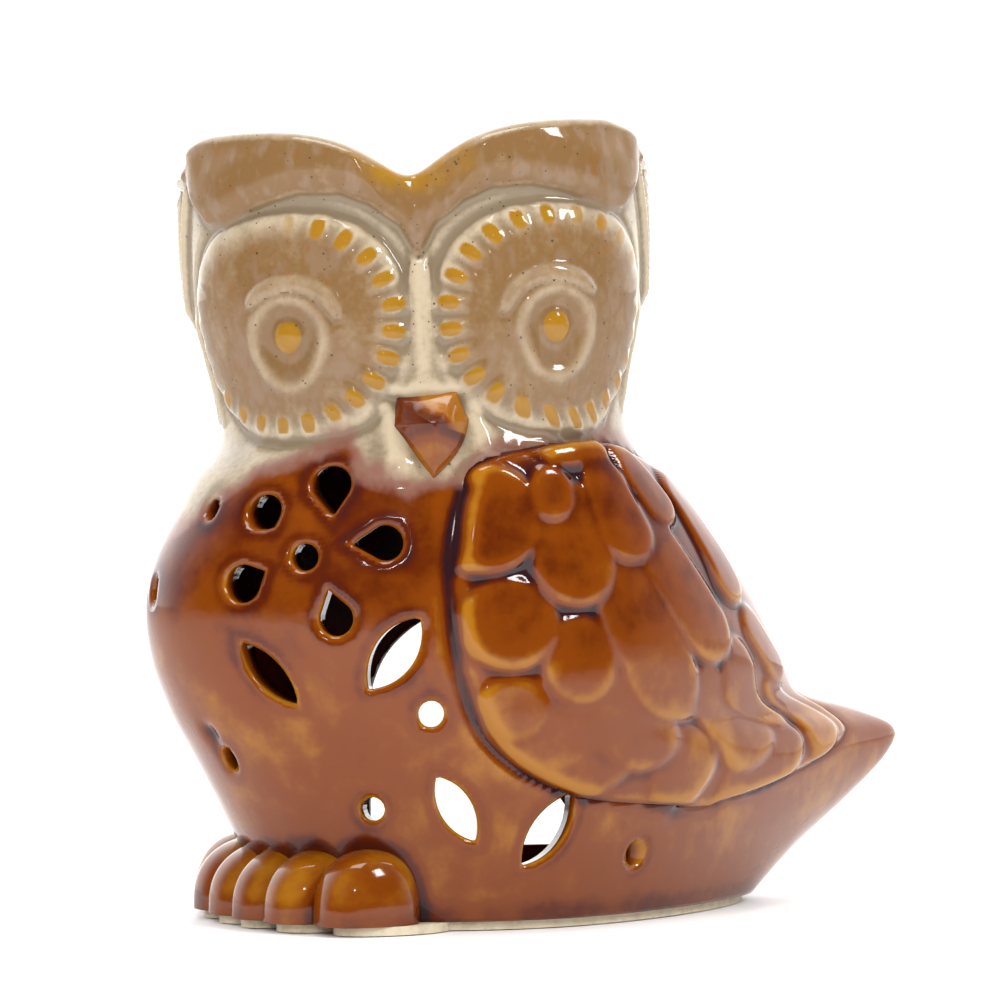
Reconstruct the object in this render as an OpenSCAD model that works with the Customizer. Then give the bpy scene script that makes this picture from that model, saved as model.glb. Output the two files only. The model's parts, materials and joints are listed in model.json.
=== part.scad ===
// Pierced ceramic owl that holds a tealight in its body and a dish of oil in its open head.
// The head looks along -Y. The body is turned, so that the tail points between +X and +Y.
// Left and right are the owl's own: its left wing is on the -Y side. The base stands on z = 0.
// Every surface of the shell comes from one function, skin(a, z): a is the angle about the
// owl's upright axis in degrees, counted from +X towards +Y, and z is the height.

/* [Shell] */
// Thickness of the clay wall
wall = 4; // [3.5:0.5:5]
// Angle of the tail from +X
tail_angle = 30; // [25:1:35]
// How far the head leans towards the owl's right, in degrees
head_roll = 2.6; // [0:0.2:4]
// Height of the joint between the body and the head
neck_z = 90; // [88:1:92]
// Height of the unglazed foot
foot_h = 1.6; // [1.2:0.2:2.4]

/* [Candle chamber] */
// Height of the chamber floor
floor_z = 6; // [5:0.5:7]
// Diameter of the round pad that the tealight stands on
seat_d = 42; // [40:1:44]
// Height of the pad above the floor
seat_h = 0.6; // [0.4:0.2:1]
// Width of the candle opening, which faces +Y
mouth_w = 58; // [50:1:60]
// Height of the opening's sill
mouth_low = 9.5; // [9:0.5:11]
// Height of the opening's top
mouth_top = 59; // [56:1:60]

/* [Oil dish] */
// Height of the dish at its middle
dish_z = 121; // [119:1:124]
// How far the dish rises towards the wall
dish_rise = 5; // [3:0.5:6]
// Thickness of the dish
dish_t = 4; // [3:0.5:5]

/* [Face] */
// Distance of each eye from the middle of the face, along the surface
eye_x = 23.8; // [22:0.2:25]
// Height of the eyes
eye_z = 109.6; // [108:0.2:111]
// Height of the rounded face discs above the head
disc_h = 3.2; // [2:0.2:4]
// Number of short rays round each face disc
rays = 18; // [14:1:20]

/* [Wings and feet] */
// Thickness of the wing's pad
wing_t = 1.4; // [1:0.2:2]
// Height of the feathers above the pad
feather_t = 1; // [0.6:0.2:1.4]
// Height of the toes
toe_h = 15; // [12:1:17]

/* [Hidden] */

glaze_brown = [0.50, 0.24, 0.07];
glaze_amber = [0.66, 0.40, 0.12];
glaze_cream = [0.70, 0.62, 0.50];
glaze_tan = [0.66, 0.50, 0.33];
clay = [0.80, 0.74, 0.62];

body_at = [-12.9, -1];
head_at = [-22.5, -4];
roll_z = 110;
neck_from = 82;
neck_to = 98;
face_x = 1.2;
LEFT = 1;
RIGHT = -1;

// Body sections: height, reach to the breast, reach to the tail, half width, taper to the tail
BODY = [
  [0, 42, 61, 34, 0.30],
  [10, 44, 73.5, 36.5, 0.45],
  [20, 49, 88, 38.5, 0.62],
  [28, 53.5, 97.5, 39.8, 0.74],
  [33, 56.5, 98.5, 40.4, 0.80],
  [37, 59, 88, 40.8, 0.70],
  [41, 61, 73.5, 41, 0.35],
  [48, 63.8, 67, 41.2, 0.15],
  [57, 65.3, 60.5, 41, 0.05],
  [66, 64.3, 53.5, 40.6, 0],
  [75, 60, 45, 39.8, 0],
  [84, 55, 35, 38.6, 0],
  [92, 51, 28, 37.6, 0],
  [104, 50, 26, 37, 0]
];
// Head sections: height, half width, half depth, squareness
HEAD = [
  [84, 38.6, 36, 2.1],
  [92, 38.8, 35.5, 2.2],
  [100, 39.6, 35.5, 2.4],
  [108, 41.2, 36, 2.5],
  [116, 42.6, 36, 2.6],
  [126, 43.4, 36, 2.6],
  [136, 43.6, 36, 2.6],
  [150, 43.4, 36, 2.5]
];

// ---- The surface of the owl ----

function clamp(x, lo, hi) = max(lo, min(hi, x));
function mix(a, b, w) = a + (b - a) * w;
function smooth(lo, hi, x) = let (s = clamp((x - lo) / (hi - lo), 0, 1)) s * s * (3 - 2 * s);
function row_of(t, x, i = 0) = i >= len(t) - 2 || x < t[i + 1][0] ? i : row_of(t, x, i + 1);
function slope_at(t, i, c) =
  let (lo = max(i - 1, 0), hi = min(i + 1, len(t) - 1))
  (t[hi][c] - t[lo][c]) / (t[hi][0] - t[lo][0]);

// Column c of table t at height x, on a cubic through the rows
function spline(t, x, c) =
  let (
    q = clamp(x, t[0][0], t[len(t) - 1][0]),
    i = row_of(t, q),
    h = t[i + 1][0] - t[i][0],
    s = (q - t[i][0]) / h
  )
  (2 * s ^ 3 - 3 * s ^ 2 + 1) * t[i][c] + (s ^ 3 - 2 * s ^ 2 + s) * h * slope_at(t, i, c)
  + (3 * s ^ 2 - 2 * s ^ 3) * t[i + 1][c] + (s ^ 3 - s ^ 2) * h * slope_at(t, i + 1, c);

// An egg seen from above: two half ellipses, the rear one pinched towards the tail
function body_xy(a, z, inset = 0) =
  let (
    t = a - tail_angle,
    reach = cos(t) > 0 ? spline(BODY, z, 2) : spline(BODY, z, 1),
    u = (reach - inset) * cos(t),
    pinch = 1 - spline(BODY, z, 4) * max(cos(t), 0) ^ 1.5,
    v = (spline(BODY, z, 3) - inset) * sin(t) * pinch
  )
  [
    body_at[0] + u * cos(tail_angle) - v * sin(tail_angle),
    body_at[1] + u * sin(tail_angle) + v * cos(tail_angle)
  ];

// A rounded square seen from above
function head_xy(a, z, inset = 0) =
  let (
    w = spline(HEAD, z, 1) - inset,
    d = spline(HEAD, z, 2) - inset,
    n = spline(HEAD, z, 3),
    r = (abs(cos(a) / w) ^ n + abs(sin(a) / d) ^ n) ^ (-1 / n)
  )
  [head_at[0] + r * cos(a), head_at[1] + r * sin(a)];

// The head leans about the Y axis, and the lean fades out through the neck
function leaned(p, share) =
  let (r = head_roll * share, dx = p[0] - head_at[0], dz = p[2] - roll_z)
  [head_at[0] + dx * cos(r) - dz * sin(r), p[1], roll_z + dx * sin(r) + dz * cos(r)];

function skin(a, z, inset = 0) =
  let (
    share = smooth(neck_from, neck_to, z),
    p = mix(body_xy(a, z, inset), head_xy(a, z, inset), share)
  )
  leaned([p[0], p[1], z], share);

// The outward direction of the surface
function outward(a, z) =
  let (
    across = skin(a + 1, z) - skin(a - 1, z),
    up = skin(a, z + 0.5) - skin(a, z - 0.5),
    n = cross(across, up)
  )
  n / norm(n);

function raised(a, z, h) = skin(a, z) + outward(a, z) * h;

// Angle of a place on the face, x mm along the surface from the middle of the face
function face_a(x) = -90 + 57.3 * (x + face_x) / (36 + 0.08 * abs(x + face_x));

// Height of the rim: a notch at the front, and brow tops beside it
function rim_z(a) =
  let (
    f = abs((a + 450) % 360 > 180 ? (a + 450) % 360 - 360 : (a + 450) % 360),
    x = f * 0.66
  )
  145 + 2.8 * (1 - smooth(50, 85, f)) - 11.2 * exp(-(x / 11) ^ 1.3);

// ---- Solids from grids of points ----

// Faces of a closed tube of n rings of m points, capped at both ends
function tube_faces(m, n) = concat(
  [[for (i = [0 : m - 1]) i]],
  [for (j = [0 : n - 2], i = [0 : m - 1]) [j * m + i, (j + 1) * m + i, (j + 1) * m + (i + 1) % m]],
  [for (j = [0 : n - 2], i = [0 : m - 1]) [j * m + i, (j + 1) * m + (i + 1) % m, j * m + (i + 1) % m]],
  [[for (i = [m - 1 : -1 : 0]) (n - 1) * m + i]]
);

// A curved slab on the surface. place(s, t), with s and t from 0 to 1, gives
// [angle, height, lift of the inner face, lift of the outer face].
module slab(ns, nt, place) {
  grid = [for (i = [0 : ns], j = [0 : nt]) place(i / ns, j / nt)];
  inner = [for (g = grid) raised(g[0], g[1], g[2])];
  outer = [for (g = grid) raised(g[0], g[1], g[3])];
  count = len(grid);
  m = nt + 1;
  quads = [
    for (i = [0 : ns - 1], j = [0 : nt - 1])
      [i * m + j, i * m + j + 1, (i + 1) * m + j + 1, (i + 1) * m + j]
  ];
  edge = concat(
    [for (j = [0 : nt - 1]) j],
    [for (i = [0 : ns - 1]) i * m + nt],
    [for (j = [nt : -1 : 1]) ns * m + j],
    [for (i = [ns : -1 : 1]) i * m]
  );
  faces = concat(
    [for (q = quads) [q[0], q[1], q[2]]],
    [for (q = quads) [q[0], q[2], q[3]]],
    [for (q = quads) [count + q[2], count + q[1], count + q[0]]],
    [for (q = quads) [count + q[3], count + q[2], count + q[0]]],
    [for (k = [0 : len(edge) - 1]) [edge[k], count + edge[k], count + edge[(k + 1) % len(edge)]]],
    [for (k = [0 : len(edge) - 1]) [edge[k], count + edge[(k + 1) % len(edge)], edge[(k + 1) % len(edge)]]]
  );
  // The faces are turned round when the grid runs the other way about the surface
  mid = floor(ns / 2) * m + floor(nt / 2);
  turn = cross(outer[mid + m] - outer[mid], outer[mid + 1] - outer[mid]);
  direct = turn * outward(grid[mid][0], grid[mid][1]) > 0;
  polyhedron(concat(inner, outer), direct ? faces : [for (f = faces) [f[2], f[1], f[0]]], convexity = 6);
}

// Heights of the rings of the body and of the head
body_rings = concat(
  [foot_h], [for (z = [5 : 5 : 25]) z], [for (z = [28 : 2.5 : 43]) z], [for (z = [47 : 5 : 87]) z], [neck_z]
);
body_turn = [for (i = [0 : 59]) tail_angle + 6 * i + 4 * sin(12 * i)];
head_turn = [for (i = [0 : 59]) -90 + 6 * i];
inner_turn = [for (i = [0 : 39]) 9 * i];

module body_block() {
  points = [for (z = body_rings, a = body_turn) skin(a, z)];
  polyhedron(points, tube_faces(len(body_turn), len(body_rings)), convexity = 8);
}

// The hollow is rounder than the outside: the tail is solid clay
tail_hollow = 62;
function hollow_xy(a, z) =
  let (
    t = a - tail_angle,
    back = min(spline(BODY, z, 2), tail_hollow) - wall,
    u = (cos(t) > 0 ? back : spline(BODY, z, 1) - wall) * cos(t),
    v = (spline(BODY, z, 3) - wall) * sin(t),
    q = [
      body_at[0] + u * cos(tail_angle) - v * sin(tail_angle),
      body_at[1] + u * sin(tail_angle) + v * cos(tail_angle)
    ]
  )
  mix(q, head_xy(a, z, wall), smooth(neck_from, neck_to, z));

module body_hollow() {
  zs = concat([foot_h - 1], [for (z = [8 : 8 : 88]) z], [neck_z + 1]);
  points = [
    for (z = zs, a = inner_turn)
      let (p = hollow_xy(a, z))
      leaned([p[0], p[1], z], smooth(neck_from, neck_to, z))
  ];
  polyhedron(points, tube_faces(len(inner_turn), len(zs)), convexity = 8);
}

// ---- Pierced holes ----

// Moves a shape drawn in X and Y on to the surface, facing outwards, turned by spin
module on_skin(a, z, spin = 0) {
  n = outward(a, z);
  side = cross([0, 0, 1], n) / norm(cross([0, 0, 1], n));
  up = cross(n, side);
  p = skin(a, z);
  multmatrix([
    [side[0], up[0], n[0], p[0]],
    [side[1], up[1], n[1], p[1]],
    [side[2], up[2], n[2], p[2]],
    [0, 0, 0, 1]
  ])
  rotate([0, 0, spin])
  children();
}

cut_depth = 3 * wall;
arc_steps = 6;
// A leaf: two arcs that meet in points, w wide and l long, along Y
function leaf_side(w, l, s) =
  let (r = (l * l / 4 + w * w / 4) / w, half = asin(l / 2 / r))
  [
    for (i = [0 : arc_steps - 1])
      let (t = mix(-half, half, i / arc_steps))
      [s * (r * cos(t) - r + w / 2), s * r * sin(t)]
  ];
function leaf_outline(w, l) = concat(leaf_side(w, l, 1), leaf_side(w, l, -1));
// A petal: round at the top and pointed at the bottom, w wide and l long
function petal_outline(w, l) = concat(
  [[0, -l / 2]],
  [for (t = [-15 : 15 : 195]) [w / 2 * cos(t), l / 2 - w / 2 + w / 2 * sin(t)]]
);
// Each hull is the plain cutter: the outlines are all convex
module leaf_cut(w, l) {
  hull() translate([0, 0, -cut_depth / 2]) linear_extrude(cut_depth) polygon(leaf_outline(w, l));
}
module petal_cut(w, l) {
  hull() translate([0, 0, -cut_depth / 2]) linear_extrude(cut_depth) polygon(petal_outline(w, l));
}
module round_cut(w, l) {
  hull()
    translate([0, 0, -cut_depth / 2])
    linear_extrude(cut_depth)
    scale([1, l / w])
    circle(d = w, $fn = 14);
}

// Angle, height, width, length, turn from upright
PETALS = [
  [-109.5, 80.5, 7.6, 10.2, 6],
  [-97, 71, 6.6, 9.6, -88],
  [-103.5, 58.5, 6.4, 8.8, 196],
  [-122.5, 64, 7.2, 8.6, 118],
  [-123.5, 76.5, 7, 7.6, 38]
];
LEAVES = [
  [-118.5, 47.3, 5.6, 15.5, 42],
  [-93, 51, 7.6, 16, -36],
  [-86.5, 22.5, 6, 14.5, 32],
  [-65.5, 18.3, 7, 16.5, -36]
];
ROUNDS = [
  [-110.5, 68.5, 5.2, 5.2, 0],
  [-88, 40, 4.8, 4.8, 0],
  [-105.5, 22.5, 4.6, 4.6, 0],
  [-48, 12.8, 4.8, 4.8, 0]
];
// Small ovals on the breast, which have no twin on the other side
BREAST_OVALS = [
  [-141, 77.2, 3.4, 4.6, 20],
  [-156, 62, 4, 5, 0],
  [-141, 31, 4, 5, -20]
];

// The same angle on the other side of the body
function twin(a) = 2 * (tail_angle + 180) - a;

module piercings() {
  for (h = PETALS) on_skin(h[0], h[1], h[4]) petal_cut(h[2], h[3]);
  for (h = LEAVES) on_skin(h[0], h[1], h[4]) leaf_cut(h[2], h[3]);
  for (h = ROUNDS) on_skin(h[0], h[1]) round_cut(h[2], h[3]);
  for (h = BREAST_OVALS) on_skin(h[0], h[1], h[4]) round_cut(h[2], h[3]);
  for (h = PETALS) on_skin(twin(h[0]), h[1], -h[4]) petal_cut(h[2], h[3]);
  on_skin(twin(LEAVES[0][0]), LEAVES[0][1], -LEAVES[0][4]) leaf_cut(LEAVES[0][2], LEAVES[0][3]);
  on_skin(twin(ROUNDS[0][0]), ROUNDS[0][1]) round_cut(ROUNDS[0][2], ROUNDS[0][3]);
  on_skin(twin(ROUNDS[2][0]), ROUNDS[2][1]) round_cut(ROUNDS[2][2], ROUNDS[2][3]);
}

// The arched way in for the candle, on the far side
mouth_x = 7;
mouth_out = 62;
mouth_run = 52;
arch_r = mouth_w / 2;
arch_h = 21;
sill_round = 4;
module candle_mouth() {
  hull()
    translate([body_at[0] + mouth_x, body_at[1] + mouth_out, 0])
    rotate([90, 0, 0])
    linear_extrude(mouth_run)
    polygon(concat(
      [[arch_r, mouth_low + sill_round], [arch_r - sill_round, mouth_low]],
      [[sill_round - arch_r, mouth_low], [-arch_r, mouth_low + sill_round]],
      [for (t = [180 : -15 : 0]) [arch_r * cos(t), mouth_top - arch_h + arch_h * sin(t)]]
    ));
}

// ---- Base and shells ----

toe_spread = [[-31, 26], [-37, 15], [-39, 4.5]];
toe_l = 25;
toe_w = 13;
ring_inset = 0.8;

// A place beside the body: u towards the tail, v towards the owl's left
module beside(u, v) {
  translate([
    body_at[0] + u * cos(tail_angle) + v * sin(tail_angle),
    body_at[1] + u * sin(tail_angle) - v * cos(tail_angle),
    0
  ])
  rotate([0, 0, tail_angle])
  children();
}

module foot_ring() {
  color(clay) {
    linear_extrude(foot_h) polygon([for (i = [0 : 71]) body_xy(5 * i, 0, ring_inset)]);
    for (side = [LEFT, RIGHT], t = toe_spread)
      beside(t[0], side * t[1])
        linear_extrude(foot_h)
        polygon([for (k = [0 : 15 : 345]) [toe_l / 2 * cos(k) * 0.93, toe_w / 2 * sin(k) * 0.93]]);
  }
}

seat_at = [-10, 0];
module chamber_floor() {
  color(glaze_brown) {
    translate([0, 0, foot_h])
      linear_extrude(floor_z - foot_h)
      polygon([for (a = inner_turn) hollow_xy(a, foot_h)]);
    translate([seat_at[0], seat_at[1], foot_h])
      cylinder(d = seat_d, h = floor_z + seat_h - foot_h, $fn = 48);
  }
}

module body_shell() {
  color(glaze_brown)
    difference() {
      body_block();
      body_hollow();
      piercings();
      candle_mouth();
    }
}

// A cup with an uneven rim: the rings run up outside, over the lip and down inside
lip_steps = 4;
head_rows = 9;
inner_rows = 6;
function lip(a, k) =
  let (t = 180 * k / lip_steps, inset = wall / 2 * (1 - cos(t)), z = rim_z(a) - wall / 2 * (1 - sin(t)))
  let (p = head_xy(a, z, inset))
  leaned([p[0], p[1], z], 1);
function inside(a, z) =
  let (p = head_xy(a, z, wall))
  leaned([p[0], p[1], z], smooth(neck_from, neck_to, z));

module head_shell() {
  m = len(head_turn);
  turns = [0 : m - 1];
  lip_low = [for (a = head_turn) rim_z(a) - wall / 2];
  rows = concat(
    [for (j = [0 : head_rows])
      [for (i = turns) skin(head_turn[i], mix(neck_z, lip_low[i], j / head_rows))]],
    [for (k = [1 : lip_steps]) [for (a = head_turn) lip(a, k)]],
    [for (j = [1 : inner_rows])
      [for (i = turns) inside(head_turn[i], mix(lip_low[i], neck_z, j / inner_rows))]]
  );
  n = len(rows);
  points = [for (r = rows, p = r) p];
  // The last ring meets the first across the flat joint at the neck
  faces = concat(
    [for (j = [0 : n - 1], i = [0 : m - 1])
      [j * m + i, (j + 1) % n * m + i, (j + 1) % n * m + (i + 1) % m]],
    [for (j = [0 : n - 1], i = [0 : m - 1]) [j * m + i, (j + 1) % n * m + (i + 1) % m, j * m + (i + 1) % m]]
  );
  color(glaze_cream) polyhedron(points, faces, convexity = 8);
}

// A shallow dish that fills the head from wall to wall
dish_gap = 0.05;
dish_rows = 4;
function dish_at(a, k, z) =
  let (p = head_xy(a, z, wall + dish_gap), c = head_at)
  leaned([mix(c[0], p[0], k), mix(c[1], p[1], k), z + dish_rise * k * k], 1);
module oil_dish() {
  steps = [for (k = [1 : dish_rows]) k / dish_rows];
  m = len(inner_turn);
  tops = [for (k = [dish_rows - 1 : -1 : 0], a = inner_turn) dish_at(a, steps[k], dish_z)];
  downs = [for (k = [0 : dish_rows - 1], a = inner_turn) dish_at(a, steps[k], dish_z - dish_t)];
  color(glaze_cream)
    polyhedron(concat(downs, tops), tube_faces(m, 2 * dish_rows), convexity = 4);
}

// ---- Face ----

disc_x = 25;
disc_z = 111.2;
disc_w = 23;
disc_half = 21.2;

// Lift of the dome of a face disc at a place on the face
function dome(x, z) =
  let (r = ((abs(abs(x) - disc_x) / disc_w) ^ 2.4 + (abs(z - disc_z) / disc_half) ^ 2.4) ^ (1 / 2.4))
  disc_h * sqrt(max(0, 1 - r ^ 2.5));

// A closed outline as a grid: s runs from one end of the shape to the other, t across it
end_w = 0.06;
function chord(s) = max(end_w, sqrt(max(0, 1 - (2 * s - 1) ^ 2)));

module face_disc(side) {
  color(glaze_tan)
    slab(12, 12, function(s, t)
      let (
        x = side * (disc_x + disc_w * (2 * s - 1)),
        z = disc_z + disc_half * (2 * t - 1) * chord(s) ^ 0.83
      )
      [face_a(x), z, 0, 0.3 + dome(x, z)]);
}

// A ridge along a path on the face: path(s) gives [x, z], h is its height, w its width
module ridge(side, steps, path, w, h, base = 0) {
  slab(steps, 4, function(s, t)
    let (
      p = path(s),
      q = path(s + 0.01),
      dir = (q - p) / norm(q - p),
      off = (t - 0.5) * w * (0.5 + 0.5 * chord(s)),
      x = side * (p[0] + dir[1] * off * side),
      z = p[1] - dir[0] * off * side,
      under = max(0, dome(x, z)) * base
    )
    [face_a(x), z, under + 0.3 * base, under + 0.3 * base + 0.1 + h * sqrt(max(0, 1 - (2 * t - 1) ^ 2))]);
}

ring_rx = 6.2;
ring_rz = 6.7;
module eye_ring(side) {
  color(glaze_cream)
    for (half = [0, 180])
      ridge(side, 10, function(s)
        let (t = half + 180 * s)
        [eye_x + ring_rx * cos(t), eye_z + ring_rz * sin(t) * (1 + 0.25 * max(0, -sin(t)))],
        2.2, 0.9, 1);
}

lid_rx = 8.8;
lid_rz = 9.2;
module eyelid(side) {
  color(glaze_tan)
    ridge(side, 10, function(s)
      let (t = 158 - 130 * s)
      [eye_x - 0.6 + lid_rx * cos(t), eye_z + 1.5 + lid_rz * sin(t)],
      2.8, 1.2, 1);
}

pupil_r = 2.5;
module pupil(side) {
  color(glaze_amber)
    slab(6, 6, function(s, t)
      let (
        x = side * (eye_x + pupil_r * (2 * s - 1)),
        z = eye_z + pupil_r * 1.15 * (2 * t - 1) * chord(s),
        r = norm([2 * s - 1, (2 * t - 1) * chord(s)])
      )
      [face_a(x), z, 0.3 + dome(x, z), 0.5 + dome(x, z) + 1.2 * sqrt(max(0, 1 - r * r))]);
}

ray_from = 0.76;
ray_to = 0.92;
module face_rays(side) {
  color(glaze_amber)
    for (k = [0 : rays - 1]) {
      t = 360 * k / rays;
      slab(2, 2, function(s, q)
        let (
          r = mix(ray_from, ray_to, s),
          x = side * (disc_x + disc_w * r * cos(t) - (q - 0.5) * 2.6 * sin(t)),
          z = disc_z + disc_half * r * sin(t) + (q - 0.5) * 2.6 * cos(t)
        )
        [face_a(x), z, 0.3 + dome(x, z), 0.6 + dome(x, z) + 0.7 * 16 * s * (1 - s) * q * (1 - q)]);
    }
}

// Brow: a thick band from the notch along the rim to a lobe at the side of the face
brow_low = 135.2;
brow_dip = 11;
brow_h = 2.8;
lobe_dip = 4.5;
lobe_lift = 9;
module brow(side) {
  color(glaze_tan)
    slab(14, 4, function(s, t)
      let (
        x = mix(3, 50, s),
        a = face_a(side * x),
        top = rim_z(a) - 2.2,
        low = brow_low - brow_dip * (1 - smooth(0, 0.35, s)) ^ 1.2
          - lobe_dip * smooth(0.55, 0.8, s) + lobe_lift * smooth(0.82, 1, s),
        z = mix(low + 1.5 * (1 - smooth(0, 0.1, s)), top, t)
      )
      let (ends = smooth(-0.05, 0.12, s) * (1 - smooth(0.92, 1.05, s)))
      [a, z, 0, 0.2 + brow_h * ends * sqrt(max(0, 1 - (2 * t - 1) ^ 4))]);
}

// The V between the brows, which ends in a point on the bridge of the nose
peak_low = 122.5;
module brow_peak() {
  color(glaze_tan)
    slab(8, 4, function(s, t)
      let (z = mix(peak_low, rim_z(-90) - 2, s), x = (2 * t - 1) * max(0.3, 6.5 * s ^ 0.8))
      [face_a(x - 0.6), z, 0, 0.2 + 2 * sqrt(max(0, 1 - (2 * t - 1) ^ 2)) * smooth(-0.1, 0.3, s)]);
}

// Ear: a raised flap on the side of the head, wide at the rim and pointed below,
// with a sunken middle
ear_x = 57;
ear_low = 112;
ear_top = 143;
ear_rim = 1.9;
ear_sink = 1.2;
module ear(side) {
  color(glaze_cream)
    slab(12, 8, function(s, t)
      let (
        z = mix(ear_low, ear_top, s),
        x = mix(ear_x - 1 - 11 * s, ear_x + 1 + 12 * s, t),
        edge = min(min(t, 1 - t) * 2, (1 - s) * 4)
      )
      let (lift = ear_rim * sqrt(clamp(edge * 3, 0, 1)) - ear_sink * smooth(0.3, 0.8, edge))
      [face_a(side * x), z, 0, 0.1 + lift]);
}

// Bridge of the nose: a narrow ridge that widens round the beak
module nose_bridge() {
  color(glaze_cream)
    slab(10, 4, function(s, t)
      let (
        z = mix(99.2, 121, s),
        half = 1.6 + 6.2 * (1 - smooth(0, 0.42, s)) ^ 1.2,
        x = (2 * t - 1) * half
      )
      [face_a(x), z, 0, 0.2 + 1.8 * sqrt(max(0, 1 - (2 * t - 1) ^ 2)) * (1 - 0.8 * smooth(0.8, 1, s))]);
}

beak_top = 98.8;
beak_tip = 82.8;
beak_w = 12.6;
beak_out = 6;
module beak() {
  color(glaze_brown)
    slab(8, 6, function(s, t)
      let (
        z = mix(beak_tip, beak_top, s),
        half = max(0.3, beak_w / 2 * (1 - abs(2 * s - 1.35) ^ 1.8 * 0.6) * smooth(-0.15, 0.75, s)),
        x = (2 * t - 1) * half,
        crest = 1 - abs(2 * t - 1)
      )
      let (lift = beak_out * crest ^ 0.8 * smooth(0, 0.35, s) * (1 - 0.5 * smooth(0.7, 1, s) ^ 2))
      [face_a(x - 0.4), z, 0, 0.2 + lift]);
}

// ---- Wings ----

// Outline of the left wing: height, angle of the front edge, angle of the rear edge
WING = [
  [21.5, -42, -36],
  [23.5, -56, -27],
  [28.5, -70, -13],
  [34, -77, -4],
  [39, -79.5, 2],
  [46, -81, 9],
  [56, -82, 14],
  [68, -82.5, 15],
  [80, -82, 5],
  [86, -78.5, -20],
  [89.3, -55, -42]
];
wing_low = 21.5;
wing_top = 89.3;
right_wing_low = 62;
function on_side(side, a) = side == LEFT ? a : twin(a);

module wing(side, low) {
  color(glaze_brown)
    slab(18, 12, function(s, t)
      let (z = mix(low, wing_top, s), a = mix(spline(WING, z, 1), spline(WING, z, 2), t))
      [on_side(side, a), z, 0, wing_t]);
}

// Feathers: angle and height of the root, angle and height of the tip, width
SHOULDER = [
  [-67, 85, -52, 85.5, 4.5],
  [-74, 80.5, -74, 66, 9.5],
  [-61, 79.5, -59.5, 62, 11.5],
  [-50, 82, -46, 70, 7],
  [-38, 83, -38, 71, 7]
];
COVERT = [
  [-73, 64.5, -73, 50, 11],
  [-60, 60, -61, 45, 11],
  [-73, 48, -73, 38, 8],
  [-64, 43, -58, 33, 8]
];
FLIGHT = [
  [-49, 66, -40, 41, 9.5],
  [-32, 76, -21, 51, 9],
  [-16, 80, -7, 58, 7],
  [-24, 48, -21, 38, 7]
];
HEM = [
  [-49, 38, -51, 30.5, 11],
  [-33, 38, -34, 29, 10],
  [-13, 44, -14, 33, 8],
  [-44, 29, -42, 25, 10],
  [-27, 30, -26, 26, 9]
];

// One feather: a rounded tongue from root to tip, on top of the wing's pad
mm_per_degree = 0.95;
module feather(side, f) {
  run = [(f[2] - f[0]) * mm_per_degree, f[3] - f[1]];
  length = norm(run);
  slab(6, 4, function(s, t)
    let (
      half = f[4] / 2 * max(0.15, s < 0.5 ? 0.8 + 0.2 * sin(180 * s) : sqrt(max(0, 1 - (2 * s - 1) ^ 2.6))),
      off = (2 * t - 1) * half,
      a = mix(f[0], f[2], s) + off * run[1] / length / mm_per_degree,
      z = mix(f[1], f[3], s) - off * run[0] / length
    )
    let (lift = feather_t * (0.5 + 0.5 * s) * sqrt(max(0, 1 - (2 * t - 1) ^ 2)))
    [on_side(side, a), z, wing_t, wing_t + 0.15 + lift]);
}

module feathers(side, list) {
  color(glaze_amber) for (f = list) feather(side, f);
}

// ---- Feet ----

// A toe is a rounded pad with a knuckle behind it and a blunt front
module toe() {
  hull() {
    translate([-toe_l / 2 + 5, 0, foot_h + 5]) sphere(5, $fn = 12);
    translate([2, 0, foot_h + toe_h / 2 - 1]) sphere(toe_h / 2 - 1, $fn = 14);
  }
  hull() {
    translate([-toe_l / 2 + 6.5, 0, toe_h - 5]) sphere(5, $fn = 12);
    translate([4, 0, toe_h - 5]) sphere(5.6, $fn = 12);
  }
  hull() {
    translate([-toe_l / 2 + 5.4, 0, foot_h]) cylinder(r = 5, h = 3, $fn = 14);
    translate([4, 0, foot_h]) cylinder(r = toe_w / 2 - 0.2, h = 6, $fn = 14);
  }
}

module foot(side) {
  color(glaze_brown)
    difference() {
      for (t = toe_spread) beside(t[0], side * t[1]) toe();
      body_block();
      translate([-100, -100, foot_h - 10]) cube([200, 200, 10]);
    }
}

// ---- The object ----

foot_ring();
chamber_floor();
body_shell();
head_shell();
oil_dish();
brow(RIGHT);  // right_brow
brow(LEFT);  // left_brow
brow_peak();
ear(RIGHT);  // right_ear
ear(LEFT);  // left_ear
face_disc(RIGHT);  // right_face_disc
face_disc(LEFT);  // left_face_disc
eyelid(RIGHT);  // right_eyelid
eyelid(LEFT);  // left_eyelid
eye_ring(RIGHT);  // right_eye_ring
eye_ring(LEFT);  // left_eye_ring
pupil(RIGHT);  // right_pupil
pupil(LEFT);  // left_pupil
face_rays(RIGHT);  // right_face_rays
face_rays(LEFT);  // left_face_rays
nose_bridge();
beak();
wing(LEFT, wing_low);  // left_wing
feathers(LEFT, SHOULDER);  // left_shoulder_feathers
feathers(LEFT, COVERT);  // left_covert_feathers
feathers(LEFT, FLIGHT);  // left_flight_feathers
feathers(LEFT, HEM);  // left_hem_feathers
wing(RIGHT, right_wing_low);  // right_wing
feathers(RIGHT, SHOULDER);  // right_shoulder_feathers
foot(RIGHT);  // right_foot
foot(LEFT);  // left_foot
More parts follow.
